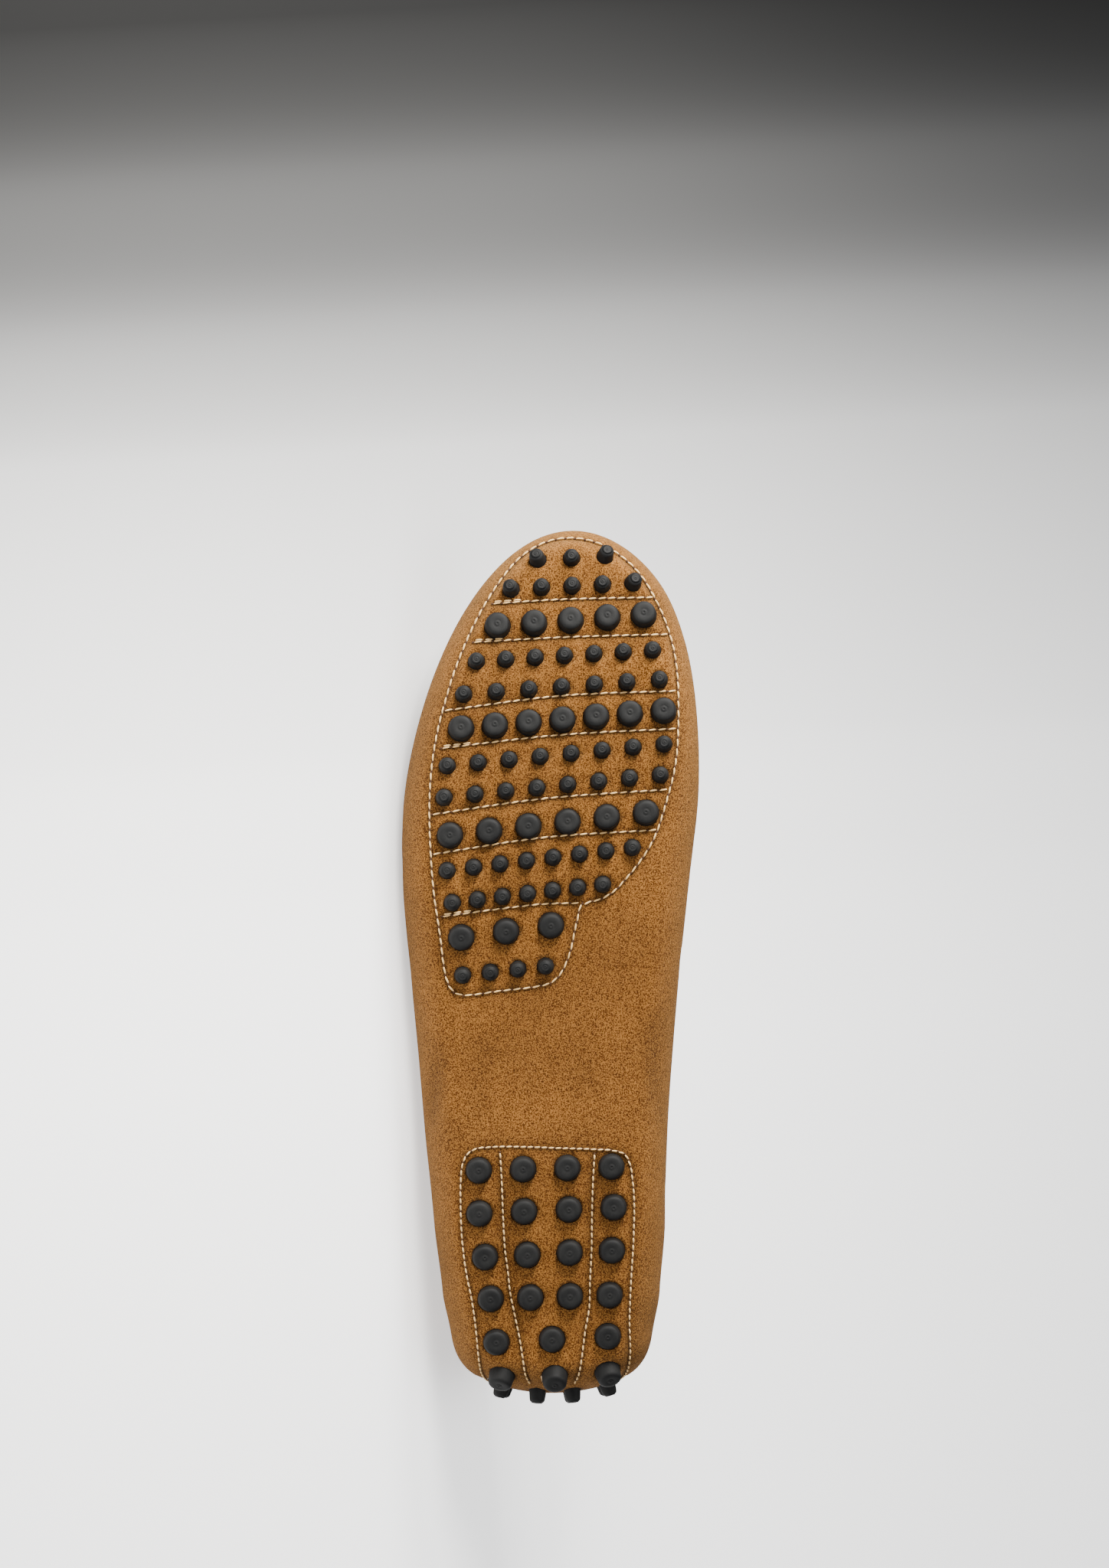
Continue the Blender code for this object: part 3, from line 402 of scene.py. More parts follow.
HEEL_SEAM = (
    (-23.8, 0.9), (-25.6, 4.2), (-26.4, 9.0), (-27.0, 17.8), (-26.9, 24.0), (-26.6, 31.8), (-26.1, 39.5),
    (-25.7, 47.0), (-25.4, 56.2), (-25.6, 66.5), (-25.0, 74.0), (-24.0, 80.0), (-22.4, 88.0),
    (-20.0, 97.0), (-16.8, 106.0), (-11.5, 113.0), (-5.0, 116.2), (1.0, 116.6), (7.0, 114.6),
    (12.8, 108.5), (16.6, 100.0), (19.6, 91.0), (21.6, 83.0), (22.9, 75.1), (23.9, 65.5), (24.7, 57.2),
    (26.2, 47.1), (27.5, 41.0), (28.5, 34.4), (29.3, 26.2), (29.6, 17.5), (29.6, 9.8), (29.0, 4.2),
    (27.6, 1.0), (24.9, -0.8), (20.3, -1.4), (8.4, -1.5), (-2.8, -1.1), (-14.1, -0.7), (-20.6, -0.2),
)
HEEL_CHANNELS = (
    ((16.8, 0.2), (16.3, 8.8), (15.8, 21.5), (15.2, 31.8), (14.2, 39.5), (13.5, 46.0), (11.9, 53.8),
     (10.4, 61.2), (9.4, 67.5), (8.4, 74.0), (6.9, 79.0)),
    ((-14.1, 0.7), (-13.6, 8.8), (-13.2, 21.5), (-13.1, 31.8), (-12.6, 42.0), (-12.3, 51.1), (-11.0, 58.8),
     (-9.8, 68.0), (-8.9, 73.5), (-7.4, 79.0)),
)


def smooth_line(points, spacing, closed):
    """Points at an even spacing on the cubic curve through the given points, by chord length."""
    points = np.asarray(points, float)
    if closed:
        points = np.concatenate([points[-3:], points, points[:4]])
    chord = np.concatenate([[0.0], np.cumsum(np.linalg.norm(np.diff(points, axis=0), axis=1))])
    slopes = np.stack([np.gradient(points[:, k], chord) for k in range(points.shape[1])], axis=-1)
    first, last = (chord[3], chord[-4]) if closed else (chord[0], chord[-1])
    at = np.linspace(first, last, max(int((last - first) / spacing), 2) + 1)
    cell = np.clip(np.searchsorted(chord, at) - 1, 0, len(chord) - 2)
    width = (chord[cell + 1] - chord[cell])[:, None]
    share = (at - chord[cell])[:, None] / width
    rest = 1.0 - share
    return (
        (1.0 + 2.0 * share) * rest**2 * points[cell]
        + share * rest**2 * width * slopes[cell]
        + share**2 * (3.0 - 2.0 * share) * points[cell + 1]
        - share**2 * rest * width * slopes[cell + 1]
    )


MILLIMETRE = 0.001
SEAM_SPACING = 0.5


def fore_line(points, closed=False):
    """A sewn line under the forefoot: its places, and the suede's normals there."""
    dense = smooth_line(points, SEAM_SPACING, closed) * MILLIMETRE
    return underside(dense[:, 0], dense[:, 1]), underside_normal(dense[:, 0], dense[:, 1])


def heel_line(points, closed=False):
    """A sewn line on the heel: its places, and the suede's normals there."""
    dense = smooth_line(points, SEAM_SPACING, closed) * MILLIMETRE
    return heel_place(dense[:, 0], dense[:, 1])


fore_seam = fore_line(FOREFOOT_SEAM, closed=True)
cross_seams = [fore_line(line) for line in CROSS_SEAMS]
heel_seam = heel_line(HEEL_SEAM, closed=True)
heel_channels = [heel_line(line) for line in HEEL_CHANNELS]


LOOP_EASE = (-0.0002, 0.0006)


def inside_loop(points, loop):
    """1 inside a closed sewn line, easing to 0 just outside, by the side of the line's nearest stretch."""
    places, normals = loop
    index = nearest(points, places)[1]
    tangents = unit(np.roll(places, -2, axis=0) - np.roll(places, 2, axis=0))
    side = np.cross(tangents, normals)[index]
    return smoothstep(np.einsum("ij,ij->i", side, points - places[index]), *LOOP_EASE)


# The skin's grid: stations round the outline, rows on the rounded edge from its first rise, rows up the
# side, and columns across the tread
STATIONS = 640
EDGE_ROWS = 9
EDGE_START = 0.371
SIDE_RISES = np.concatenate([np.linspace(1.0, 1.88, 19)[1:], [1.905, 1.93, 1.95, 1.97, 1.987, 2.0]])
RUNG_COLUMNS = 70
# Quilting: how far the suede stands proud between seams, sinks along them and dips round the holes
PUFF = 0.0006
PUFF_WIDTH = 0.0042
GROOVE = 0.0005
GROOVE_WIDTH = 0.0013
HOLE_DIP = 0.0002
HOLE_DIP_WIDTH = 0.0009
SNAP = 0.0003

# Soft creases, in millimetres: where each starts and ends in the shoe's frame, its depth and its width
Crease = namedtuple("Crease", "start end depth width")
CREASES = (
    Crease((36, 118, 2), (42, 84, 6), 0.7, 4.5),
    Crease((22, 122, 1), (25, 88, 1), 0.35, 5.0),
    Crease((-33, 128, 2), (-35, 92, 3), 0.5, 4.5),
    Crease((-12, 126, 1), (-10, 94, 1), 0.25, 6.0),
    Crease((46, 62, 20), (38, 30, 30), 0.8, 6.0),
    Crease((-36, 74, 22), (-34, 40, 32), 0.8, 6.0),
    Crease((50, 190, 16), (40, 176, 38), 0.9, 4.0),
    Crease((50, 176, 14), (42, 160, 40), 0.7, 4.0),
    Crease((-46, 204, 16), (-36, 190, 36), 0.9, 4.0),
    Crease((-46, 186, 14), (-37, 172, 38), 0.7, 4.0),
    Crease((-42, 150, 16), (-36, 128, 36), 0.8, 6.0),
    Crease((50, 146, 18), (42, 124, 38), 0.8, 6.0),
)
# Shares of a crease's length over which it deepens and then fades
CREASE_RISING = (-0.05, 0.3)
CREASE_FALLING = (0.7, 1.05)


def crease_depth(points):
    """Depth of the creases at each point: a bell across each crease, fading to nothing at both its ends."""
    total = np.zeros(points.shape[:-1])
    for crease in CREASES:
        start, end = np.array(crease.start) * MILLIMETRE, np.array(crease.end) * MILLIMETRE
        span = end - start
        share = ((points - start) @ span) / (span @ span)
        away = np.linalg.norm(points - start - np.clip(share, 0.0, 1.0)[..., None] * span, axis=-1)
        fade = smoothstep(share, *CREASE_RISING) * (1.0 - smoothstep(share, *CREASE_FALLING))
        total += crease.depth * MILLIMETRE * fade * np.exp(-((away / (crease.width * MILLIMETRE)) ** 2))
    return total


RIDGE_EASE = 0.05


def ridge_share(turn):
    """1 along the apron seam, easing to 0 at the throat corners."""
    return smoothstep(along_of(turn), THROAT, THROAT + RIDGE_EASE)


station_turns = np.arange(STATIONS) * 2.0 * math.pi / STATIONS
rises = np.concatenate([np.linspace(EDGE_START, 1.0, EDGE_ROWS + 1), SIDE_RISES])
wall_points = wall(station_turns[None], rises[:, None])
wall_normals = wall_normal(station_turns[None], np.minimum(rises, NEAR_RIM)[:, None])


def eased(values, rounds):
    """Values round a ring, each blended with its neighbours a number of times."""
    for _ in range(rounds):
        values = (np.roll(values, 1, axis=-2) + 2.0 * values + np.roll(values, -1, axis=-2)) / 4.0
    return values


# The rounded edge's rings follow eased directions from the outline, so that they stay apart at the corners
DIRECTION_ROUNDS = 120
NORMAL_ROUNDS = 12
edge_x, edge_y = outline(station_turns)
edge_line = np.stack([edge_x, edge_y], axis=-1)
edge_inward = unit(eased(np.stack(inward(station_turns), axis=-1), DIRECTION_ROUNDS))
edge_depth = EDGE_ROUNDING * smooth_column(SECTIONS, "edge", along_of(station_turns))
for row in range(EDGE_ROWS):
    depth = edge_depth * (1.0 - math.sin(rises[row] * math.pi / 2.0))
    plan = edge_line + depth[:, None] * edge_inward
    wall_points[row] = underside(plan[:, 0], plan[:, 1], FINE_SAMPLES, 1.0)
wall_normals[: EDGE_ROWS + 2] = unit(eased(wall_normals[: EDGE_ROWS + 2], NORMAL_ROUNDS))

# Puckers and raised lip of the moccasin seam, along the rim ahead of the throat: the rises between which
# each grows, and above which it falls by a share, and the puckers' depth on the sides and at the toe
PUCKER_PITCH = 0.0056
PUCKER_DEPTH = 0.0010
LIP_RISES, LIP_TOP, LIP_FALL = (1.90, 1.945), 1.975, 0.55
PUCKER_RISES, PUCKER_TOP, PUCKER_FALL = (1.62, 1.90), 1.93, 0.6
SIDE_GATHER, TOE_GATHER, TOE_GATHER_SHARES = 0.45, 0.55, (0.72, 0.95)
rim_line = wall_points[-1]
rim_steps = np.linalg.norm(np.roll(rim_line, -1, axis=0) - rim_line, axis=1)
rim_arc = np.concatenate([[0.0], np.cumsum(rim_steps)[:-1]])
half_stations = STATIONS // 2
pucker_phase = 2.0 * math.pi * (rim_arc - rim_arc[half_stations]) / PUCKER_PITCH
lip = smoothstep(rises, *LIP_RISES) * (1.0 - LIP_FALL * smoothstep(rises, LIP_TOP, 2.0))
pucker = smoothstep(rises, *PUCKER_RISES) * (1.0 - PUCKER_FALL * smoothstep(rises, PUCKER_TOP, 2.0))
toe_gather = SIDE_GATHER + TOE_GATHER * smoothstep(along_of(station_turns), *TOE_GATHER_SHARES)
pucker_wave = (0.5 - 0.5 * np.cos(pucker_phase)) * toe_gather * ridge_share(station_turns)
raised = (
    RIDGE * lip[:, None] * ridge_share(station_turns)[None]
    - PUCKER_DEPTH * pucker[:, None] * pucker_wave[None]
)

# Closing seam up the back: its depth, its width, how far forward it may show, and the heights between
# which it starts above the heel unit
BACK_SEAM = 0.0007
BACK_SEAM_WIDTH = 0.0011
BACK_SEAM_FRONT = 0.05
BACK_SEAM_START = (0.034, 0.038)
back_seam = np.exp(-((wall_points[..., 0] / BACK_SEAM_WIDTH) ** 2)) * (wall_points[..., 1] < BACK_SEAM_FRONT)
raised -= BACK_SEAM * back_seam * smoothstep(wall_points[..., 2], *BACK_SEAM_START)

# Rungs across the tread, from each outer station to its inner twin
shares = np.linspace(0.0, 1.0, RUNG_COLUMNS + 1)[1:-1]
outer_ends, inner_ends = wall_points[0, 1:half_stations], wall_points[0, :half_stations:-1]
tread_points = outer_ends[:, None] + (inner_ends - outer_ends)[:, None] * shares[None, :, None]
tread_x, tread_y = tread_points[..., 0], tread_points[..., 1]
tread_points, tread_normals = underside(tread_x, tread_y), underside_normal(tread_x, tread_y)

skin_points = np.concatenate([wall_points.reshape(-1, 3), tread_points.reshape(-1, 3)])
skin_normals = np.concatenate([wall_normals.reshape(-1, 3), tread_normals.reshape(-1, 3)])
skin_raised = np.concatenate([raised.ravel(), np.zeros(tread_x.size)])
skin_rise = np.concatenate([np.repeat(rises, STATIONS), np.zeros(tread_x.size)])


def skin_faces():
    """Quads round the wall, quads between the rungs, and triangles that close heel and toe."""
    ring = np.arange(STATIONS)
    rows = (np.arange(len(rises) - 1) * STATIONS)[:, None]
    after = np.roll(ring, -1)[None]
    around = np.stack([rows + ring, rows + after, rows + STATIONS + after, rows + STATIONS + ring], axis=-1)
    base = len(rises) * STATIONS
    inner = base + np.arange((half_stations - 1) * len(shares)).reshape(half_stations - 1, len(shares))
    line = np.arange(1, half_stations)[:, None]
    rungs = np.concatenate([line, inner, STATIONS - line], axis=1)
    between = np.stack([rungs[:-1, 1:], rungs[1:, 1:], rungs[1:, :-1], rungs[:-1, :-1]], axis=-1)
    heel = np.stack([np.zeros(RUNG_COLUMNS, int), rungs[0, 1:], rungs[0, :-1]], axis=-1)
    toe = np.stack([np.full(RUNG_COLUMNS, half_stations), rungs[-1, :-1], rungs[-1, 1:]], axis=-1)
    return np.concatenate([around.reshape(-1, 4), between.reshape(-1, 4)]), np.concatenate([heel, toe])


# Quilting: the suede stands proud between the sewn lines and dips along them. It reaches up to a rise on
# the sides and up the back, and each panel lies on its own side of the waist.
QUILT_RISE = 1.5
QUILT_BACK = 0.045
BALL_PANEL_START = 0.12
HEEL_PANEL_END = 0.09
all_lines = [fore_seam] + cross_seams + [heel_seam] + heel_channels
line_places = np.concatenate([line[0] for line in all_lines])
low_part = np.flatnonzero((skin_rise < QUILT_RISE) | (skin_points[:, 1] < QUILT_BACK))
low_points = skin_points[low_part]
seam_gap = nearest(low_points, line_places)[0]
under_ball = (skin_rise[low_part] <= 1.0) & (low_points[:, 1] > BALL_PANEL_START)
under_heel = low_points[:, 1] < HEEL_PANEL_END
panel = np.where(under_ball, inside_loop(low_points, fore_seam), 0.0)
panel = np.where(under_heel, inside_loop(low_points, heel_seam), panel)
skin_raised[low_part] += PUFF * panel * (1.0 - np.exp(-((seam_gap / PUFF_WIDTH) ** 2)))
skin_raised[low_part] -= GROOVE * np.exp(-((seam_gap / GROOVE_WIDTH) ** 2))
skin_raised -= crease_depth(skin_points)

# Holes: what lies inside is cut away, and the points round it are drawn onto the hole's edge
HOLE_SEARCH = 2.2
stud_bases = np.concatenate([FORE_BASE, HEEL_BASE])
stud_axes = np.concatenate([FORE_AXIS, HEEL_AXIS])
stud_radii = np.concatenate([FORE_RADIUS, HEEL_RADIUS]) + CLEARANCE / 3.0
cut = np.zeros(len(skin_points), bool)
hole_of = np.zeros(len(skin_points), int)
for number, (base, axis, radius) in enumerate(zip(stud_bases, stud_axes, stud_radii)):
    close = np.flatnonzero(np.abs(skin_points - base).max(axis=1) < HOLE_SEARCH * radius)
    offset = skin_points[close] - base
    away = np.linalg.norm(offset - (offset @ axis)[:, None] * axis, axis=1)
    within = close[away < radius - SNAP]
    cut[within] = True
    hole_of[within] = number
    dip = HOLE_DIP * np.exp(-(((np.maximum(away, radius) - radius) / HOLE_DIP_WIDTH) ** 2))
    skin_raised[close] -= dip

quads, wedges = skin_faces()
sides = [np.stack([quads, np.roll(quads, k, axis=1)], axis=-1).reshape(-1, 2) for k in (1, -1)]
pairs = np.concatenate(sides)
pairs = pairs[cut[pairs[:, 0]] & ~cut[pairs[:, 1]]]
hole_of[pairs[:, 1]] = hole_of[pairs[:, 0]]
rim = np.unique(pairs[:, 1])
rim_axis = stud_axes[hole_of[rim]]
rim_offset = skin_points[rim] - stud_bases[hole_of[rim]]
rim_flat = rim_offset - np.einsum("ij,ij->i", rim_offset, rim_axis)[:, None] * rim_axis
rim_away = np.linalg.norm(rim_flat, axis=1)
skin_points[rim] += rim_flat * (stud_radii[hole_of[rim]] / rim_away - 1.0)[:, None]

# The relief attribute: 0.5 on the plain surface, and 1 more for each step of the range set below that it
# stands above it. The suede turns it into painted shade in the seams, grooves, creases, puckers and dips
# round the holes, and a little painted light on the puffs and the raised lip.
RELIEF_SHADE_RANGE = 0.002
skin_relief_shade = 0.5 + skin_raised / RELIEF_SHADE_RANGE
skin_shape = skin_points + skin_raised[:, None] * skin_normals
cut_corners = cut[quads].sum(axis=1)
clipped = quads[cut_corners == 1]
first_cut = cut[clipped].argmax(axis=1)
clipped = np.take_along_axis(clipped, (first_cut[:, None] + np.arange(1, 4)) % 4, axis=1)
quads = quads[cut_corners == 0]
wedges = np.concatenate([wedges[~cut[wedges].any(axis=1)], clipped])


def lay(points):
    """Shoe's frame to row frame, with what would pass the floor pressed flat against it."""
    placed = points @ LYING.T + LYING_SHIFT
    placed[..., 2] = np.maximum(placed[..., 2], 0.0)
    return placed


def add_piece(name, points, face_lists, materials):
    """Mesh object of points in the row frame and arrays of faces, smooth, with its materials."""
    used = np.unique(np.concatenate([faces.ravel() for faces in face_lists]))
    renumber = np.full(len(points), -1)
    renumber[used] = np.arange(len(used))
    loops = np.concatenate([renumber[faces].ravel() for faces in face_lists]).astype(np.int32)
    sizes = np.concatenate([np.full(len(faces), faces.shape[1]) for faces in face_lists])
    starts = np.concatenate([[0], np.cumsum(sizes)[:-1]]).astype(np.int32)
    mesh = bpy.data.meshes.new(name)
    mesh.vertices.add(len(used))
    mesh.vertices.foreach_set("co", points[used].astype(np.float32).ravel())
    mesh.loops.add(len(loops))
    mesh.loops.foreach_set("vertex_index", loops)
    mesh.polygons.add(len(sizes))
    mesh.polygons.foreach_set("loop_start", starts)
    mesh.update(calc_edges=True)
    mesh.validate()
    mesh.shade_smooth()
    for material in materials:
        mesh.materials.append(material)
    piece = bpy.data.objects.new(name, mesh)
    bpy.context.scene.collection.objects.link(piece)
    return piece, used


def set_attribute(piece, name, values):
    """A number at each point of a piece, for its material to read."""
    attribute = piece.data.attributes.new(name, "FLOAT", "POINT")
    attribute.data.foreach_set("value", np.asarray(values, np.float32))


def solidify(piece, thickness, group=None):
    """Wall thickness inward, its inner side in the piece's second material."""
    shell = piece.modifiers.new("wall", "SOLIDIFY")
    shell.thickness = thickness
    shell.offset = -1.0
    if len(piece.data.materials) > 1:
        shell.material_offset = 1
    if group:
        shell.vertex_group = group


class Nodes:
    """Short hand for a node tree: add a node with its settings, and join sockets."""

    def __init__(self, tree):
        self.tree = tree

    def add(self, kind, **settings):
        node = self.tree.nodes.new(kind)
        for key, value in settings.items():
            if key in node.bl_rna.properties:
                setattr(node, key, value)
            else:
                node.inputs[key.replace("_", " ")].default_value = value
        return node

    def join(self, source, target):
        self.tree.links.new(source, target)

    def ranged(self, source, from_low, from_high, to_low=0.0, to_high=1.0):
        """A number brought from one range to another."""
        ends = {"From Min": from_low, "From Max": from_high, "To Min": to_low, "To Max": to_high}
        node = self.add("ShaderNodeMapRange", **ends)
        self.join(source, node.inputs["Value"])
        return node.outputs["Result"]

    def between(self, dark, light, share):
        """A colour between two, by a share."""
        node = self.add("ShaderNodeMix", data_type="RGBA")
        node.inputs["A"].default_value = (*dark, 1.0)
        node.inputs["B"].default_value = (*light, 1.0)
        self.join(share, node.inputs["Factor"])
        return node.outputs["Result"]

    def bumped(self, height, strength, distance, shader):
        """A height as small relief in a shader's normal."""
        node = self.add("ShaderNodeBump", Strength=strength, Distance=distance)
        self.join(height, node.inputs["Height"])
        self.join(node.outputs["Normal"], shader.inputs["Normal"])


def new_material(name, specular):
    """A new material: itself, its nodes, its shader and its object coordinates."""
    material = bpy.data.materials.new(name)
    material.use_nodes = True
    shader = material.node_tree.nodes["Principled BSDF"]
    shader.inputs["Specular IOR Level"].default_value = specular
    nodes = Nodes(material.node_tree)
    return material, nodes, shader, nodes.add("ShaderNodeTexCoord").outputs["Object"]


def new_group(name, scales, results):
    """A node group that takes a vector and named scales: itself, its nodes, and what goes in and comes out."""
    tree = bpy.data.node_groups.new(name, "ShaderNodeTree")
    tree.interface.new_socket("Vector", in_out="INPUT", socket_type="NodeSocketVector")
    for socket in scales:
        tree.interface.new_socket(socket, in_out="INPUT", socket_type="NodeSocketFloat")
    for socket in results:
        tree.interface.new_socket(socket, in_out="OUTPUT", socket_type="NodeSocketFloat")
    nodes = Nodes(tree)
    return tree, nodes, nodes.add("NodeGroupInput").outputs, nodes.add("NodeGroupOutput").inputs


FIBRE_SHARE = 0.45


def nap_group():
    """Suede's nap: soft brushed patches, a mottled grain and fine fibres, as two masks and a height."""
    scales = ("Patch Scale", "Grain Scale", "Fibre Scale")
    tree, n, given, made = new_group("suede_nap", scales, ("Patch", "Grain", "Height"))
    noises = {}
    for name, detail, roughness in (("Patch", 3.0, 0.5), ("Grain", 5.0, 0.72), ("Fibre", 3.0, 0.7)):
        noise = n.add("ShaderNodeTexNoise", Detail=detail, Roughness=roughness)
        n.join(given["Vector"], noise.inputs["Vector"])
        n.join(given[name + " Scale"], noise.inputs["Scale"])
        noises[name] = noise.outputs["Fac"]
    fibre_height = n.add("ShaderNodeMath", operation="MULTIPLY")
    fibre_height.inputs[1].default_value = FIBRE_SHARE
    n.join(noises["Fibre"], fibre_height.inputs[0])
    total = n.add("ShaderNodeMath", operation="ADD")
    n.join(noises["Grain"], total.inputs[0])
    n.join(fibre_height.outputs[0], total.inputs[1])
    n.join(noises["Patch"], made["Patch"])
    n.join(noises["Grain"], made["Grain"])
    n.join(total.outputs[0], made["Height"])
    return tree


NAP = nap_group()
SUEDE_DARK = (0.047, 0.0122, 0.0003)
SUEDE_LIGHT = (0.264, 0.113, 0.0245)
NAP_HEIGHT = 0.0006


def suede(name):
    """Suede: nap colours from dark to light by its grain, matt with a soft sheen, with painted shade deeper
    in its seams, creases and hollows and a little painted light on its puffs and raised lip.
    """
    material, n, shader, place = new_material(name, 0.08)
    shader.inputs["Roughness"].default_value = 0.95
    shader.inputs["Sheen Weight"].default_value = 0.14
    shader.inputs["Sheen Roughness"].default_value = 0.45
    shader.inputs["Sheen Tint"].default_value = (1.0, 0.66, 0.30, 1.0)
    scales = {"Patch Scale": 38.0, "Grain Scale": 2300.0, "Fibre Scale": 4200.0}
    nap = n.add("ShaderNodeGroup", node_tree=NAP, **scales)
    n.join(place, nap.inputs["Vector"])
    colour = n.between(SUEDE_DARK, SUEDE_LIGHT, n.ranged(nap.outputs["Grain"], 0.445, 0.555))
    patch = n.ranged(nap.outputs["Patch"], 0.3, 0.7, 0.84, 1.14)
    relief = n.add("ShaderNodeAttribute", attribute_name="relief")
    # Painted shade: the relief attribute darkens the colour in the seams, grooves, creases, puckers and round
    # the holes, and lightens it a little on the puffs and the raised lip
    painted_relief_shade = n.ranged(relief.outputs["Fac"], 0.24, 0.62, 0.66, 1.06)
    amount = n.add("ShaderNodeMath", operation="MULTIPLY")
    n.join(patch, amount.inputs[0])
    n.join(painted_relief_shade, amount.inputs[1])
    tinted = n.add("ShaderNodeVectorMath", operation="SCALE")
    n.join(colour, tinted.inputs[0])
    n.join(amount.outputs[0], tinted.inputs["Scale"])
    n.join(tinted.outputs[0], shader.inputs["Base Color"])
    n.bumped(nap.outputs["Height"], 1.0, NAP_HEIGHT, shader)
    return material


def grain_group():
    """Leather's grain: small cells as a height, and soft patches of uneven colour as a mask."""
    tree, n, given, made = new_group("leather_grain", ("Grain Scale", "Patch Scale"), ("Patch", "Height"))
    cells = n.add("ShaderNodeTexVoronoi")
    patches = n.add("ShaderNodeTexNoise", Detail=4.0, Roughness=0.6)
    for name, node in (("Grain Scale", cells), ("Patch Scale", patches)):
        n.join(given["Vector"], node.inputs["Vector"])
        n.join(given[name], node.inputs["Scale"])
    n.join(patches.outputs["Fac"], made["Patch"])
    n.join(cells.outputs["Distance"], made["Height"])
    return tree


GRAIN = grain_group()


def leather(name, dark, light, roughness, grain_scale, grain_height):
    """Smooth leather: a cell grain with fine creases, slightly uneven colour and a soft gloss."""
    material, n, shader, place = new_material(name, 0.4)
    shader.inputs["Roughness"].default_value = roughness
    scales = {"Grain Scale": grain_scale, "Patch Scale": 60.0}
    grain = n.add("ShaderNodeGroup", node_tree=GRAIN, **scales)
    n.join(place, grain.inputs["Vector"])
    n.join(n.between(dark, light, grain.outputs["Patch"]), shader.inputs["Base Color"])
    n.bumped(grain.outputs["Height"], 0.6, grain_height, shader)
    return material


TAN_SUEDE = suede("tan_suede_nap")
LINING = leather("lining_leather", (0.42, 0.27, 0.14), (0.52, 0.35, 0.20), 0.6, 900.0, 0.0002)

upper, upper_used = add_piece("suede_upper", lay(skin_shape), [quads, wedges], [TAN_SUEDE, LINING])
set_attribute(upper, "relief", skin_relief_shade[upper_used])
# The wall's thickness stays the same where the lip is raised: a weight for each point, in rounded groups
lip_weight = (WALL + RIDGE * (lip[:, None] * ridge_share(station_turns)[None]).ravel()) / (WALL + RIDGE)
wall_share = np.concatenate([lip_weight, np.full(tread_x.size, WALL / (WALL + RIDGE))])[upper_used]
thickness_group = upper.vertex_groups.new(name="wall_share")
for value in np.unique(wall_share.round(3)):
    members = np.flatnonzero(wall_share.round(3) == value)
    thickness_group.add(members.tolist(), float(value), "REPLACE")
solidify(upper, WALL + RIDGE, thickness_group.name)
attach(upper, "root")
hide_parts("upper")


# Quilting stitches: waxed cream thread in a lockstitch, each stitch slanting a little and sunk between
# its needle holes, which are dark beads of painted shade. Four of the cross rows are doubled back a few
# stitches where they start.
THREAD = 0.00030
FORE_PITCH = 3.2 * MILLIMETRE
HEEL_PITCH = 2.3 * MILLIMETRE
STITCH_SHARE = 0.78
STITCH_SLANT = 0.10
STITCH_LIFT = 0.00012
# Doubled back: how many stitches, how many thread radii beside, and what share of the pitch ahead
BACK_TACK = 3
BACK_TACK_BESIDE = 2.1
BACK_TACK_AHEAD = 0.12
# Needle holes, as dark beads of painted shade: their length as a share of the pitch, and their radius
HOLE_SHADE_SHARE = 0.30
HOLE_SHADE_RADIUS = 0.00036
# Half the share of a pitch over which a tangent is taken, and the ring nearest to a stitch's end
TANGENT_REACH = 0.3
LAST_RING = 0.96


def even_places(line, pitch):
    """Places, tangents and normals at an even pitch along a sewn line."""
    places, normals = line
    arc = np.concatenate([[0.0], np.cumsum(np.linalg.norm(np.diff(places, axis=0), axis=1))])
    count = max(int(round(arc[-1] / pitch)), 1)
    at = (np.arange(count) + 0.5) * arc[-1] / count
    read = [np.stack([np.interp(at + s, arc, places[:, k]) for k in range(3)], axis=-1)
            for s in (-TANGENT_REACH * pitch, 0.0, TANGENT_REACH * pitch)]
    turned = np.stack([np.interp(at, arc, normals[:, k]) for k in range(3)], axis=-1)
    return read[1], unit(read[2] - read[0]), unit(turned)


def beads(places, tangents, normals, length, radius, arch, rings=7, sides=8):
    """Capsules along a seam: rings whose radius rounds to nothing at both ends, arched off the surface."""
    u = np.sin(np.linspace(-1.0, 1.0, rings + 2)[1:-1] * math.pi / 2.0 * LAST_RING)
    swell = radius * np.sqrt(1.0 - np.abs(u) ** 3.0)
    angle = np.arange(sides) * 2.0 * math.pi / sides
    side = np.cross(normals, tangents)
    middle = (
        places[:, None]
        + tangents[:, None] * (u * length / 2.0)[None, :, None]
        + normals[:, None] * (arch * (1.0 - u**2))[None, :, None]
    )
    ring = (
        side[:, None, None] * np.cos(angle)[None, None, :, None]
        + normals[:, None, None] * np.sin(angle)[None, None, :, None]
    )
    points = middle[:, :, None] + ring * swell[None, :, None, None]
    ends = np.stack([places - tangents * length / 2.0, places + tangents * length / 2.0], axis=1)
    count = len(places)
    each = rings * sides + 2
    stacked = np.concatenate([points.reshape(count, -1, 3), ends], axis=1).reshape(-1, 3)
    ring_index = np.arange(rings * sides).reshape(rings, sides)
    after = np.roll(ring_index, -1, axis=1)
    around = np.stack([ring_index[:-1], ring_index[1:], after[1:], after[:-1]], axis=-1).reshape(-1, 4)
    low = np.stack([np.full(sides, rings * sides), ring_index[0], after[0]], axis=-1)
    high = np.stack([np.full(sides, rings * sides + 1), after[-1], ring_index[-1]], axis=-1)
    shift = (np.arange(count) * each)[:, None, None]
    return stacked, (around[None] + shift).reshape(-1, 4), (
        np.concatenate([low, high])[None] + shift).reshape(-1, 3)


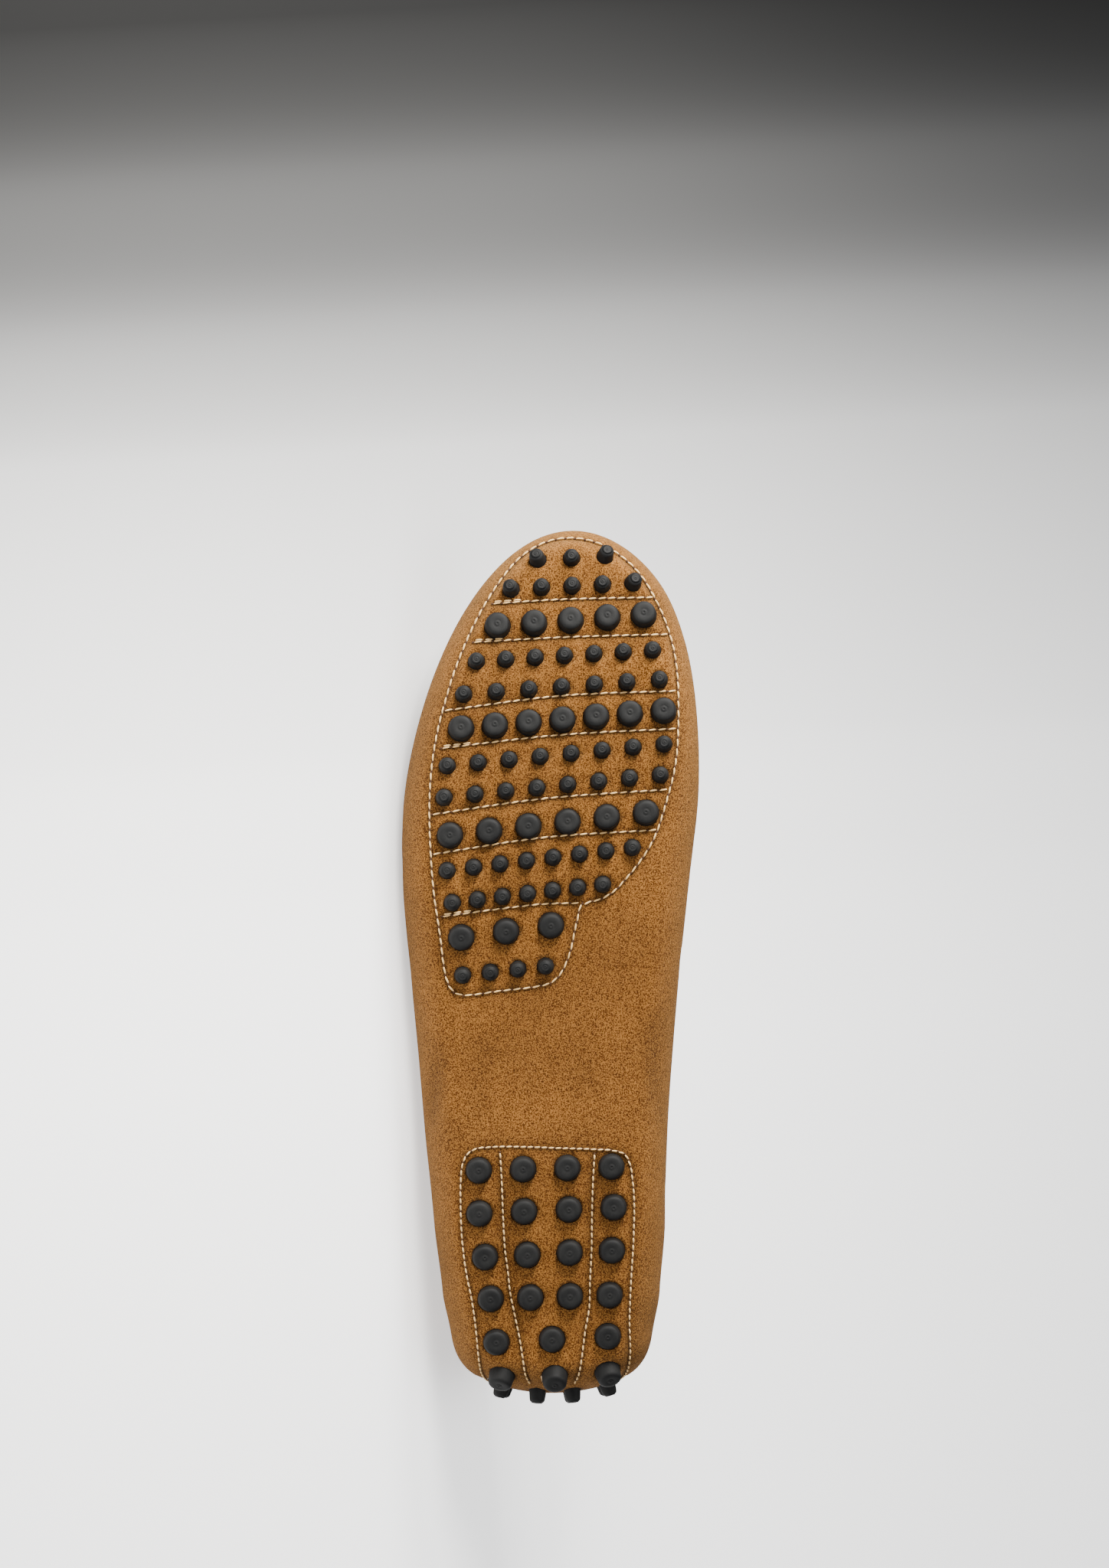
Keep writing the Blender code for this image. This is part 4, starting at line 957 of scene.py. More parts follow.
def joined(parts):
    """Several point and face sets as one."""
    points, quads_out, wedges_out, base = [], [], [], 0
    for p, q, w in parts:
        points.append(p)
        quads_out.append(q + base)
        wedges_out.append(w + base)
        base += len(p)
    return np.concatenate(points), [np.concatenate(quads_out), np.concatenate(wedges_out)]


def slanted(tangents, normals, slant):
    """Tangents turned a little to the side, as each stitch of a lockstitch lies."""
    return unit(tangents + slant * np.cross(normals, tangents))


stitch_runs = [(fore_seam, FORE_PITCH, 0)]
stitch_runs += [
    (line, FORE_PITCH, BACK_TACK if number in BACK_TACKED else 0) for number, line in enumerate(cross_seams)
]
stitch_runs += [(heel_seam, HEEL_PITCH, 0)] + [(line, HEEL_PITCH, 0) for line in heel_channels]
stitches, needle_hole_shades = [], []
for line, pitch, tack in stitch_runs:
    places, tangents, normals = even_places(line, pitch)
    length = STITCH_SHARE * pitch
    lifted = places + STITCH_LIFT * normals
    leaning = slanted(tangents, normals, STITCH_SLANT)
    stitches.append(beads(lifted, leaning, normals, length, THREAD, THREAD / 2.0))
    if tack:
        sideways = BACK_TACK_BESIDE * THREAD * np.cross(normals, tangents)
        beside = lifted + sideways + BACK_TACK_AHEAD * pitch * tangents
        stitches.append(beads(beside[:tack], tangents[:tack], normals[:tack], length, THREAD, THREAD))
    # A dark bead of painted shade in each needle hole, half a pitch behind each stitch
    holes = places - tangents * pitch / 2.0
    needle_hole_shades.append(beads(holes, tangents, normals, HOLE_SHADE_SHARE * pitch, HOLE_SHADE_RADIUS, 0.0, rings=3))


def thread_material(name, dark, light):
    """Twisted thread: fine slanting strands, colour between a dark and a light, and a dull wax."""
    material, n, shader, place = new_material(name, 0.3)
    shader.inputs["Roughness"].default_value = 0.7
    strands = n.add("ShaderNodeTexWave", Scale=700.0, Distortion=1.5, Detail=2.0, bands_direction="DIAGONAL")
    dirt = n.add("ShaderNodeTexNoise", Scale=350.0, Detail=3.0)
    for node in (strands, dirt):
        n.join(place, node.inputs["Vector"])
    n.join(n.between(dark, light, dirt.outputs["Fac"]), shader.inputs["Base Color"])
    n.bumped(strands.outputs["Fac"], 0.6, 0.0001, shader)
    return material


CREAM_THREAD = thread_material("cream_thread", (0.36, 0.205, 0.065), (0.84, 0.56, 0.25))
# The needle holes' painted shade: near-black leather on the beads that stand for them
NEEDLE_HOLE_SHADE = leather("needle_hole_shade", (0.035, 0.014, 0.005), (0.07, 0.028, 0.009), 0.95, 2500.0, 0.00005)
thread_points, thread_faces = joined(stitches)
thread, _ = add_piece("quilting_stitches", lay(thread_points), thread_faces, [CREAM_THREAD])
hole_shade_points, hole_shade_faces = joined(needle_hole_shades)
pits, _ = add_piece("needle_hole_shade_beads", lay(hole_shade_points), hole_shade_faces, [NEEDLE_HOLE_SHADE])
for piece in (thread, pits):
    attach(piece, "root")


# Stud units: two rubber mouldings, one under the forefoot and one under the heel that turns up the back.
# Each is a plate inside the suede with its studs in one piece, pushed out through the punched holes.
UNIT_THICKNESS = 0.0016
STUD_HEIGHT = 0.0044
STUD_TAPER = 0.0009
STUD_SIDES = 24
RUBBER_DARK = (0.0042, 0.0043, 0.0044)
RUBBER_LIGHT = (0.0098, 0.0098, 0.0096)

UnitRow = namedtuple("UnitRow", "along outer inner")
FOREFOOT_UNIT = (
    UnitRow(0.469, 0.640, 0.030),
    UnitRow(0.500, 0.710, -0.050),
    UnitRow(0.545, 0.745, -0.130),
    UnitRow(0.566, 0.765, -0.240),
    UnitRow(0.580, 0.772, -0.420),
    UnitRow(0.605, 0.785, -0.570),
    UnitRow(0.635, 0.795, -0.670),
    UnitRow(0.680, 0.800, -0.765),
    UnitRow(0.730, 0.790, -0.825),
    UnitRow(0.780, 0.725, -0.840),
    UnitRow(0.830, 0.630, -0.815),
    UnitRow(0.880, 0.500, -0.750),
    UnitRow(0.925, 0.370, -0.640),
    UnitRow(0.955, 0.230, -0.520),
    UnitRow(0.978, 0.070, -0.370),
)
HEEL_UNIT = (
    UnitRow(0.015, 0.739, -0.627),
    UnitRow(0.202, 0.715, -0.629),
    UnitRow(0.389, 0.612, -0.584),
    UnitRow(0.576, 0.477, -0.507),
    UnitRow(0.763, 0.369, -0.424),
    UnitRow(0.950, 0.327, -0.383),
)

# A stud's outline from its root to the edge of its face: how far it is drawn in, where FACE_INSET is its
# whole taper, and its height as a share of the stud's
Turned = namedtuple("Turned", "inset height")
STUD_PROFILE = (
    Turned(0.00, -0.60),
    Turned(0.00, 0.00),
    Turned(0.20, 0.30),
    Turned(0.45, 0.66),
    Turned(0.58, 0.80),
    Turned(0.80, 0.895),
    Turned(1.20, 0.96),
    Turned(1.80, 1.00),
)
FACE_INSET = 0.58
# Rings on its face, by share of the base radius and of the height: a crown with a ring pressed in and a
# small raised mark in the middle
FaceRing = namedtuple("FaceRing", "radius height")
FACE_PROFILE = (
    FaceRing(0.60, 1.012),
    FaceRing(0.36, 1.020),
    FaceRing(0.31, 1.006),
    FaceRing(0.22, 1.002),
    FaceRing(0.16, 1.034),
    FaceRing(0.08, 1.040),
    FaceRing(0.045, 1.000),
)


def studs(bases, axes, radii):
    """Turned studs on their axes: the profile carried round each, closed at the face and the root."""
    ring_radius = np.stack(
        [radii - step.inset * STUD_TAPER / 2.0 / FACE_INSET for step in STUD_PROFILE]
        + [radii * ring.radius for ring in FACE_PROFILE], axis=1
    )
    heights = STUD_HEIGHT * np.array([step.height for step in STUD_PROFILE + FACE_PROFILE])
    helper = np.where(np.abs(axes[:, :1]) > 0.9, [[0.0, 1.0, 0.0]], [[1.0, 0.0, 0.0]])
    first = unit(np.cross(axes, helper))
    second = np.cross(axes, first)
    angle = np.arange(STUD_SIDES) * 2.0 * math.pi / STUD_SIDES
    ring = (
        first[:, None, None] * np.cos(angle)[None, None, :, None]
        + second[:, None, None] * np.sin(angle)[None, None, :, None]
    )
    points = (
        bases[:, None, None]
        + axes[:, None, None] * heights[None, :, None, None]
        + ring * ring_radius[:, :, None, None]
    )
    poles = np.stack([bases + axes * heights[0], bases + axes * heights[-1]], axis=1)
    rings, count = len(heights), len(bases)
    stacked = np.concatenate([points.reshape(count, -1, 3), poles], axis=1).reshape(-1, 3)
    index = np.arange(rings * STUD_SIDES).reshape(rings, STUD_SIDES)
    after = np.roll(index, -1, axis=1)
    around = np.stack([index[:-1], after[:-1], after[1:], index[1:]], axis=-1).reshape(-1, 4)
    root = np.stack([np.full(STUD_SIDES, index.size), after[0], index[0]], axis=-1)
    face = np.stack([np.full(STUD_SIDES, index.size + 1), index[-1], after[-1]], axis=-1)
    shift = (np.arange(count) * (index.size + 2))[:, None, None]
    return stacked, (around[None] + shift).reshape(-1, 4), (
        np.concatenate([root, face])[None] + shift).reshape(-1, 3)


def plate(outer_side, inner_side):
    """A closed sheet between two grids of places: both faces and the edge all round."""
    rows, columns = outer_side.shape[:2]
    index = np.arange(rows * columns).reshape(rows, columns)
    low = np.stack([index[:-1, :-1], index[:-1, 1:], index[1:, 1:], index[1:, :-1]], axis=-1).reshape(-1, 4)
    high = low[:, ::-1] + index.size
    edge = np.concatenate([index[0, :], index[1:, -1], index[-1, -2::-1], index[-2:0:-1, 0]])
    after = np.roll(edge, -1)
    side = np.stack([after, edge, edge + index.size, after + index.size], axis=-1)
    points = np.concatenate([outer_side.reshape(-1, 3), inner_side.reshape(-1, 3)])
    return points, np.concatenate([low, high, side]), np.zeros((0, 3), int)


def unit_grid(table, rows, columns):
    """Along and across shares over a unit's outline."""
    along = np.linspace(table[0].along, table[-1].along, rows)
    outer, inner = smooth_column(table, "outer", along), smooth_column(table, "inner", along)
    share = np.linspace(0.0, 1.0, columns)
    across = outer[:, None] + (inner - outer)[:, None] * share
    return np.broadcast_to(along[:, None], across.shape), across


def moulding_group():
    """Moulded rubber's surface: dust as a mask, roughness that rises with the dust, and pits as a height."""
    scales = ("Pit Scale", "Dust Scale")
    tree, n, given, made = new_group("rubber_moulding", scales, ("Dust", "Roughness", "Height"))
    pits = n.add("ShaderNodeTexNoise", Detail=4.0, Roughness=0.7)
    dust = n.add("ShaderNodeTexNoise", Detail=5.0, Roughness=0.65)
    for name, node in (("Pit Scale", pits), ("Dust Scale", dust)):
        n.join(given["Vector"], node.inputs["Vector"])
        n.join(given[name], node.inputs["Scale"])
    n.join(n.ranged(dust.outputs["Fac"], 0.35, 0.72), made["Dust"])
    n.join(n.ranged(dust.outputs["Fac"], 0.0, 1.0, 0.52, 0.78), made["Roughness"])
    n.join(pits.outputs["Fac"], made["Height"])
    return tree


MOULDING = moulding_group()


def rubber(name):
    """Moulded rubber: charcoal, matt, faintly pitted, with a little dust from the suede."""
    material, n, shader, place = new_material(name, 0.14)
    scales = {"Pit Scale": 2200.0, "Dust Scale": 160.0}
    moulding = n.add("ShaderNodeGroup", node_tree=MOULDING, **scales)
    n.join(place, moulding.inputs["Vector"])
    dusted = n.between(RUBBER_DARK, RUBBER_LIGHT, moulding.outputs["Dust"])
    n.join(dusted, shader.inputs["Base Color"])
    n.join(moulding.outputs["Roughness"], shader.inputs["Roughness"])
    n.bumped(moulding.outputs["Height"], 0.5, 0.0001, shader)
    return material


def sheet_under(face, out, depth, thickness):
    """A plate that lies a depth under the suede, by the suede's places and normals."""
    return plate(face - depth * out, face - (depth + thickness) * out)


unit_depth = WALL + CLEARANCE
fore_u, fore_v = unit_grid(FOREFOOT_UNIT, 60, 30)
plate_x, plate_y = fore_v * BALL_WIDTH / 2.0, fore_u * LENGTH
plate_face, plate_out = underside(plate_x, plate_y), underside_normal(plate_x, plate_y)
fore_plate = sheet_under(plate_face, plate_out, unit_depth, UNIT_THICKNESS)
heel_u, heel_v = unit_grid(HEEL_UNIT, 50, 20)
plate_face, plate_out = heel_place(heel_v * HEEL_WIDTH / 2.0, heel_u * HEEL_UNIT_PATH)
heel_plate = sheet_under(plate_face, plate_out, unit_depth, UNIT_THICKNESS)
fore_studs = studs(FORE_BASE, FORE_AXIS, FORE_RADIUS)
heel_studs = studs(HEEL_BASE, HEEL_AXIS, HEEL_RADIUS)
for name, node, slot_name, parts in (
    ("forefoot_stud_unit", "forefoot_studs", "forefoot_rubber", [fore_plate, fore_studs]),
    ("heel_stud_unit", "heel_studs", "heel_rubber", [heel_plate, heel_studs]),
):
    unit_points, unit_faces = joined(parts)
    stud_unit, _ = add_piece(name, lay(unit_points), unit_faces, [rubber(slot_name + "_moulded")])
    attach(stud_unit, "root")
    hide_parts(node)


# Apron: the suede plug on top of the forefoot, gathered into the raised seam and sewn to it by hand, with
# one slanting stitch of the cream thread at each gather.
APRON_THICKNESS = 0.0018
CORNER_TRIM = 0.0005
CORNER_TRIM_END = 0.60
THROAT_BOW = 0.018
APRON_ROWS = 110
APRON_ROW_EASE = 0.9
APRON_COLUMNS = 60
# Gathers along the apron's edge: their height, and how far in they reach and how sharply they end
GATHER_HEIGHT = 0.0004
GATHER_REACH = 0.16
GATHER_FALL = 1.5
GATHER_SIDE, GATHER_TOE = 0.5, 0.5
# Creases over the vamp where it bends, and the depth, width and bow that all of them share
VampCrease = namedtuple("VampCrease", "along depth reach")
VAMP_CREASES = (
    VampCrease(0.585, 0.9, 0.5),
    VampCrease(0.625, 0.7, 0.6),
    VampCrease(0.665, 1.0, 0.45),
    VampCrease(0.70, 0.5, 0.5),
)
VAMP_CREASE_DEPTH = 0.0006
VAMP_CREASE_WIDTH = 0.011
VAMP_CREASE_BOW = 0.02
# Level that the apron's relief attribute starts from, a little above the upper's, for the suede's painted
# shade
APRON_RELIEF_SHADE = 0.55


def apron_surface(turns, across):
    """Rungs between the two seams, crowned like a parabola, the rear ones bowed to the toe."""
    near_corner = 1.0 - smoothstep(along_of(turns), THROAT, CORNER_TRIM_END)
    trim = CLEARANCE + CORNER_TRIM * near_corner[:, None]
    outer = wall(turns, 2.0) + trim * wall_up(turns, 2.0)
    inner = wall(2.0 * math.pi - turns, 2.0) + trim * wall_up(2.0 * math.pi - turns, 2.0)
    middle, half = (outer + inner) / 2.0, (outer - inner) / 2.0
    points = middle[:, None] + across[None, :, None] * half[:, None]
    crown = smooth_column(SECTIONS, "crown", along_of(turns)) * np.linalg.norm(half, axis=-1)
    dome = 1.0 - across**2
    back = ((math.pi - turns) / (math.pi - turns[0])) ** 2
    points[..., 2] += crown[:, None] * dome[None, :]
    points[..., 1] += THROAT_BOW * back[:, None] * dome[None, :]
    return points


throat_turn = math.acos(1.0 - 2.0 * THROAT)
apron_shares = np.linspace(0.0, 1.0, APRON_ROWS + 1)[:-1] ** APRON_ROW_EASE
apron_turns = throat_turn + (math.pi - throat_turn) * apron_shares
apron_across = np.sin(np.linspace(1.0, -1.0, APRON_COLUMNS + 1) * math.pi / 2.0)
apron_points = apron_surface(apron_turns, apron_across)
apron_out = unit(np.cross(np.gradient(apron_points, axis=1), np.gradient(apron_points, axis=0)))
apron_out *= np.sign(apron_out[APRON_ROWS // 2, APRON_COLUMNS // 2, 2])
edge_steps = np.linalg.norm(np.diff(apron_points[:, 0], axis=0), axis=1)
edge_arc = np.concatenate([[0.0], np.cumsum(edge_steps)])
edge_phase = 2.0 * math.pi * (edge_arc - edge_arc[-1]) / PUCKER_PITCH
edge_near = np.exp(-(((1.0 - np.abs(apron_across)) / GATHER_REACH) ** GATHER_FALL))
toe_share = GATHER_SIDE + GATHER_TOE * smoothstep(along_of(apron_turns), *TOE_GATHER_SHARES)
apron_raised = GATHER_HEIGHT * edge_near[None] * (np.cos(edge_phase) * toe_share)[:, None]
for crease in VAMP_CREASES:
    bend = crease.along + VAMP_CREASE_BOW * apron_across[None] ** 2
    fade = np.exp(-((apron_across[None] / crease.reach) ** 2))
    gap = along_of(apron_turns)[:, None] - bend
    bell = np.exp(-((gap / VAMP_CREASE_WIDTH) ** 2))
    apron_raised = apron_raised - crease.depth * VAMP_CREASE_DEPTH * fade * bell
apron_shape = apron_points + apron_raised[..., None] * apron_out
apron_tip = wall(math.pi, 2.0) + CLEARANCE * wall_up(math.pi, 2.0)
index = np.arange(apron_shape.shape[0] * apron_shape.shape[1]).reshape(apron_shape.shape[:2])
apron_cells = np.stack([index[:-1, 1:], index[:-1, :-1], index[1:, :-1], index[1:, 1:]], axis=-1)
apron_quads = apron_cells.reshape(-1, 4)
apron_wedges = np.stack([index[-1, 1:], index[-1, :-1], np.full(APRON_COLUMNS, index.size)], axis=-1)
APRON_SUEDE = suede("apron_suede_nap")
all_apron = np.concatenate([apron_shape.reshape(-1, 3), apron_tip[None]])
apron_faces = [apron_quads, apron_wedges]
apron, apron_used = add_piece("suede_apron", lay(all_apron), apron_faces, [APRON_SUEDE, LINING])
# The apron's relief attribute, which the suede turns into painted shade in its vamp creases and the troughs of
# its gathers, and painted light on their crests
apron_relief_shade = np.append(APRON_RELIEF_SHADE + apron_raised.ravel() / RELIEF_SHADE_RANGE, 0.5)
set_attribute(apron, "relief", apron_relief_shade[apron_used])
solidify(apron, APRON_THICKNESS)
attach(apron, "root")
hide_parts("apron")

# The hand stitches over the raised seam, one at each gather, from just ahead of the throat: thicker thread,
# sunk a little in the ridge, with the rises where each is centred and where its direction is taken
HAND_THREAD = 0.00052
HAND_LENGTH = 0.0050
HAND_ARCH = 0.0011
HAND_SLANT = 0.22
HAND_SINK = 0.0005
HAND_RISE = 1.962
HAND_UP_RISE = 1.97
HAND_START = 0.03
GATHERS_EACH_SIDE = 26
gathers = np.arange(-GATHERS_EACH_SIDE, GATHERS_EACH_SIDE + 1)
reach_arc = rim_arc[half_stations] + gathers * PUCKER_PITCH + PUCKER_PITCH / 2.0
hand_turns = np.interp(reach_arc, rim_arc, station_turns)
hand_turns = hand_turns[along_of(hand_turns) > THROAT + HAND_START]
hand_out = wall_normal(hand_turns, HAND_RISE)
over = wall(hand_turns, HAND_RISE) + (RIDGE - HAND_SINK) * hand_out
hand_along = slanted(wall_up(hand_turns, HAND_UP_RISE), hand_out, HAND_SLANT)
hand_stitches = beads(over, hand_along, hand_out, HAND_LENGTH, HAND_THREAD, HAND_ARCH, rings=9)
hand_points, hand_faces = joined([hand_stitches])
hand, _ = add_piece("apron_hand_stitches", lay(hand_points), hand_faces, [CREAM_THREAD])
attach(hand, "root")


# Collar binding: a strip of smooth leather, folded over the edge of the opening and sewn through with the
# cream thread, all the way round.
BINDING_RADIUS = 0.0022
BINDING_FLANK = 0.0046
BINDING_STATIONS = 420
# The edge that it follows: how far its collar part stops before the throat's corners, the step that gives
# the throat's slope, how far across the throat it reaches, and how often its corners are eased
CORNER_TURN = 0.04
THROAT_STEP = 0.06
THROAT_REACH = 0.93
CORNER_ROUNDS = 16
COLLAR_PLACES = 240
THROAT_PLACES = 90


def opening_frame(count):
    """Middle line of the folded edge, with its outward and upward directions, smoothed at the corners."""
    off = CLEARANCE + BINDING_RADIUS
    collar_turns = np.linspace(-throat_turn + CORNER_TURN, throat_turn - CORNER_TURN, COLLAR_PLACES)
    collar = wall(collar_turns, 2.0) + off * wall_up(collar_turns, 2.0)
    collar_out, collar_up = wall_normal(collar_turns, NEAR_RIM), wall_up(collar_turns, 2.0)
    rear_turns = throat_turn + np.array([0.0, THROAT_STEP, 2.0 * THROAT_STEP])
    across = np.linspace(THROAT_REACH, -THROAT_REACH, THROAT_PLACES)
    rear = apron_surface(rear_turns, across)
    back = unit(rear[0] - rear[1])
    rear_out = unit(np.cross(np.gradient(rear[0], axis=0), back))
    rear_out *= np.sign(rear_out[THROAT_PLACES // 2, 2])
    places = np.concatenate([collar, rear[0] + off * back])
    outs, ups = np.concatenate([collar_out, rear_out]), np.concatenate([collar_up, back])
    closed = [np.concatenate([values, values[:1]]) for values in (places, outs, ups)]
    arc = np.concatenate([[0.0], np.cumsum(np.linalg.norm(np.diff(closed[0], axis=0), axis=1))])
    at = np.arange(count) * arc[-1] / count
    read = [np.stack([np.interp(at, arc, values[:, k]) for k in range(3)], axis=-1) for values in closed]
    places, outs, ups = (eased(values, CORNER_ROUNDS) for values in read)
    return places, unit(outs), unit(ups)


binding_middle, binding_out, binding_up = opening_frame(BINDING_STATIONS)
# The strip's section: its outer flank, a half circle over the edge, and its inner flank, as shares of the
# radius outwards and of the flank downwards. A slow ripple, from two waves, runs along it.
BINDING_TUCK = 0.0001
RIPPLE = 0.03
RIPPLE_WAVES = (0.9, 0.37)
fold = np.linspace(0.0, math.pi, 13)
profile_out = np.concatenate([[0.10, 0.62, 0.95], np.cos(fold), [-0.98, -0.94, -0.90]]) * BINDING_RADIUS
outer_flank = [-BINDING_FLANK - BINDING_TUCK, -BINDING_FLANK, -0.5 * BINDING_FLANK]
inner_flank = [-0.4 * BINDING_FLANK, -0.8 * BINDING_FLANK, -BINDING_FLANK]
profile_up = np.concatenate([outer_flank, np.sin(fold) * BINDING_RADIUS, inner_flank])
first_wave, second_wave = (np.sin(np.arange(BINDING_STATIONS) * wave) for wave in RIPPLE_WAVES)
ripple = 1.0 + RIPPLE * first_wave * second_wave
binding_points = (
    binding_middle[:, None]
    + binding_out[:, None] * (profile_out[None] * ripple[:, None])[..., None]
    + binding_up[:, None] * profile_up[None, :, None]
)
binding_size = binding_points.shape[:2]
binding_index = np.arange(binding_size[0] * binding_size[1]).reshape(binding_size)
next_station = np.roll(binding_index, -1, axis=0)
around = np.roll(binding_index, -1, axis=1)
next_around = np.roll(around, -1, axis=0)
binding_quads = np.stack([binding_index, around, next_around, next_station], axis=-1).reshape(-1, 4)
BINDING_LEATHER = leather(
    "binding_leather_grain", (0.17, 0.060, 0.013), (0.25, 0.095, 0.022), 0.5, 1500.0, 0.00016
)
binding_places = lay(binding_points.reshape(-1, 3))
binding, _ = add_piece("binding_strip", binding_places, [binding_quads], [BINDING_LEATHER])
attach(binding, "root")
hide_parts("collar_binding")

# Its stitches, half way down the outer flank: where they lie, as shares of the radius and the flank, their
# pitch, length and arch
SEWN_OUT = 0.92
SEWN_DOWN = 0.52
BINDING_PITCH = 0.0031
BINDING_STITCH = 0.0024
BINDING_ARCH = 0.0001
sewn_places = (
    binding_middle + binding_out * SEWN_OUT * BINDING_RADIUS - binding_up * SEWN_DOWN * BINDING_FLANK
)
sewn = tuple(np.concatenate([values, values[:1]]) for values in (sewn_places, binding_out))
places, tangents, normals = even_places(sewn, BINDING_PITCH)
leaning = slanted(tangents, normals, STITCH_SLANT)
binding_stitches = beads(places, leaning, normals, BINDING_STITCH, THREAD, BINDING_ARCH)
stitch_points, stitch_faces = joined([binding_stitches])
binding_thread, _ = add_piece("binding_stitches", lay(stitch_points), stitch_faces, [CREAM_THREAD])
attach(binding_thread, "root")


# Insole: a smooth leather sheet, cut with a margin inside the outline and glued over the two stud units
# from heel to toe.
INSOLE_THICKNESS = 0.0018
INSOLE_MARGIN = 0.0075
# How far round the outline its ends lie from the heel and the toe
INSOLE_END_TURN = 0.06
insole_turns = np.linspace(INSOLE_END_TURN, math.pi - INSOLE_END_TURN, 150)
share = np.linspace(0.0, 1.0, 50)


def insole_edge(turns):
    """The outline, drawn in by the insole's margin."""
    x, y = outline(turns)
    toward_x, toward_y = inward(turns)
    return np.stack([x + INSOLE_MARGIN * toward_x, y + INSOLE_MARGIN * toward_y], axis=-1)


edge_out, edge_in = insole_edge(insole_turns), insole_edge(2.0 * math.pi - insole_turns)
insole_plan = edge_out[:, None] + (edge_in - edge_out)[:, None] * share[None, :, None]
sole_face = underside(insole_plan[..., 0], insole_plan[..., 1])
sole_out = underside_normal(insole_plan[..., 0], insole_plan[..., 1])
insole_depth = WALL + UNIT_THICKNESS + 2.0 * CLEARANCE
insole_points, insole_quads, _ = sheet_under(sole_face, sole_out, insole_depth, INSOLE_THICKNESS)
INSOLE_LEATHER = leather(
    "insole_leather_grain", (0.46, 0.31, 0.165), (0.58, 0.41, 0.235), 0.55, 1100.0, 0.00015
)
insole, _ = add_piece("leather_insole", lay(insole_points), [insole_quads], [INSOLE_LEATHER])
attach(insole, "root")
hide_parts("insole")


# Stage: a pale paper floor with painted shade that darkens it towards the toe in bands across the picture
# and a painted glow that lifts its shadows, a soft key light beyond the toe with a rim light behind it, a
# wide light from above and a weak fill. The camera looks at the tread from the photo's angle.
FLOOR_SIZE = 8.0
# Strength of the painted light that the floor gives off, which lifts the shadows on it
FLOOR_PAINTED_GLOW = 1.05
# Half the picture's height over its distance, the paper's painted shade from its bottom (0) to its top (1),
# and how far the bands of painted shade lean down to the left
FLOOR_SPAN = 0.1165
Shade = namedtuple("Shade", "height grey")
FLOOR_PAINTED_SHADES = (
    Shade(0.0, 0.93),
    Shade(0.25, 0.91),
    Shade(0.35, 0.88),
    Shade(0.44, 0.79),
    Shade(0.53, 0.64),
    Shade(0.72, 0.32),
    Shade(0.81, 0.105),
    Shade(0.905, 0.037),
    Shade(1.0, 0.010),
)
FLOOR_LEAN = 0.057
# The camera in the shoe's frame, fitted so that the studs fall where the photo has them
CAMERA_TARGET = (-0.00098, 0.20009, 0.0)
CAMERA_PLACE = (0.01414, 0.19415, -2.2)
CAMERA_LENS = 154.58


def to_row(vector, shift=True):
    """A single vector from the shoe's frame to the row frame."""
    return Vector(np.array(vector) @ LYING.T + (LYING_SHIFT if shift else 0.0))


camera_data = bpy.data.cameras.new("camera")
camera_data.lens = CAMERA_LENS
camera_data.sensor_width = 36.0
camera_data.clip_end = 50.0
camera = bpy.data.objects.new("camera", camera_data)
bpy.context.scene.collection.objects.link(camera)
eye, target = to_row(CAMERA_PLACE), to_row(CAMERA_TARGET)
ahead = (target - eye).normalized()
right = ahead.cross(to_row((0.0, 1.0, 0.0), shift=False)).normalized()
above = right.cross(ahead)
turned = Matrix((right, above, -ahead)).transposed().to_4x4()
camera.matrix_world = Matrix.Translation(eye) @ turned
bpy.context.scene.camera = camera

# The paper's painted shade and glow: each point's height in the picture, its offset from the camera along
# the picture's up over the offset along its view, leads through the table of painted shades to a grey that
# it both shows as its colour and gives off as painted light
floor_corners = np.array([(-1, -1, 0), (1, -1, 0), (1, 1, 0), (-1, 1, 0)], float) * FLOOR_SIZE / 2.0
PAPER, paper, paper_shader, paper_place = new_material("floor_paper_painted_light", 0.0)
paper_shader.inputs["Roughness"].default_value = 0.9
paper_seen = paper.add("ShaderNodeVectorMath", operation="SUBTRACT")
paper_seen.inputs[1].default_value = eye
paper.join(paper_place, paper_seen.inputs[0])
paper_sides = []
for direction in (above - FLOOR_LEAN * right, ahead):
    side = paper.add("ShaderNodeVectorMath", operation="DOT_PRODUCT")
    side.inputs[1].default_value = direction
    paper.join(paper_seen.outputs[0], side.inputs[0])
    paper_sides.append(side.outputs["Value"])
paper_level = paper.add("ShaderNodeMath", operation="DIVIDE")
paper.join(paper_sides[0], paper_level.inputs[0])
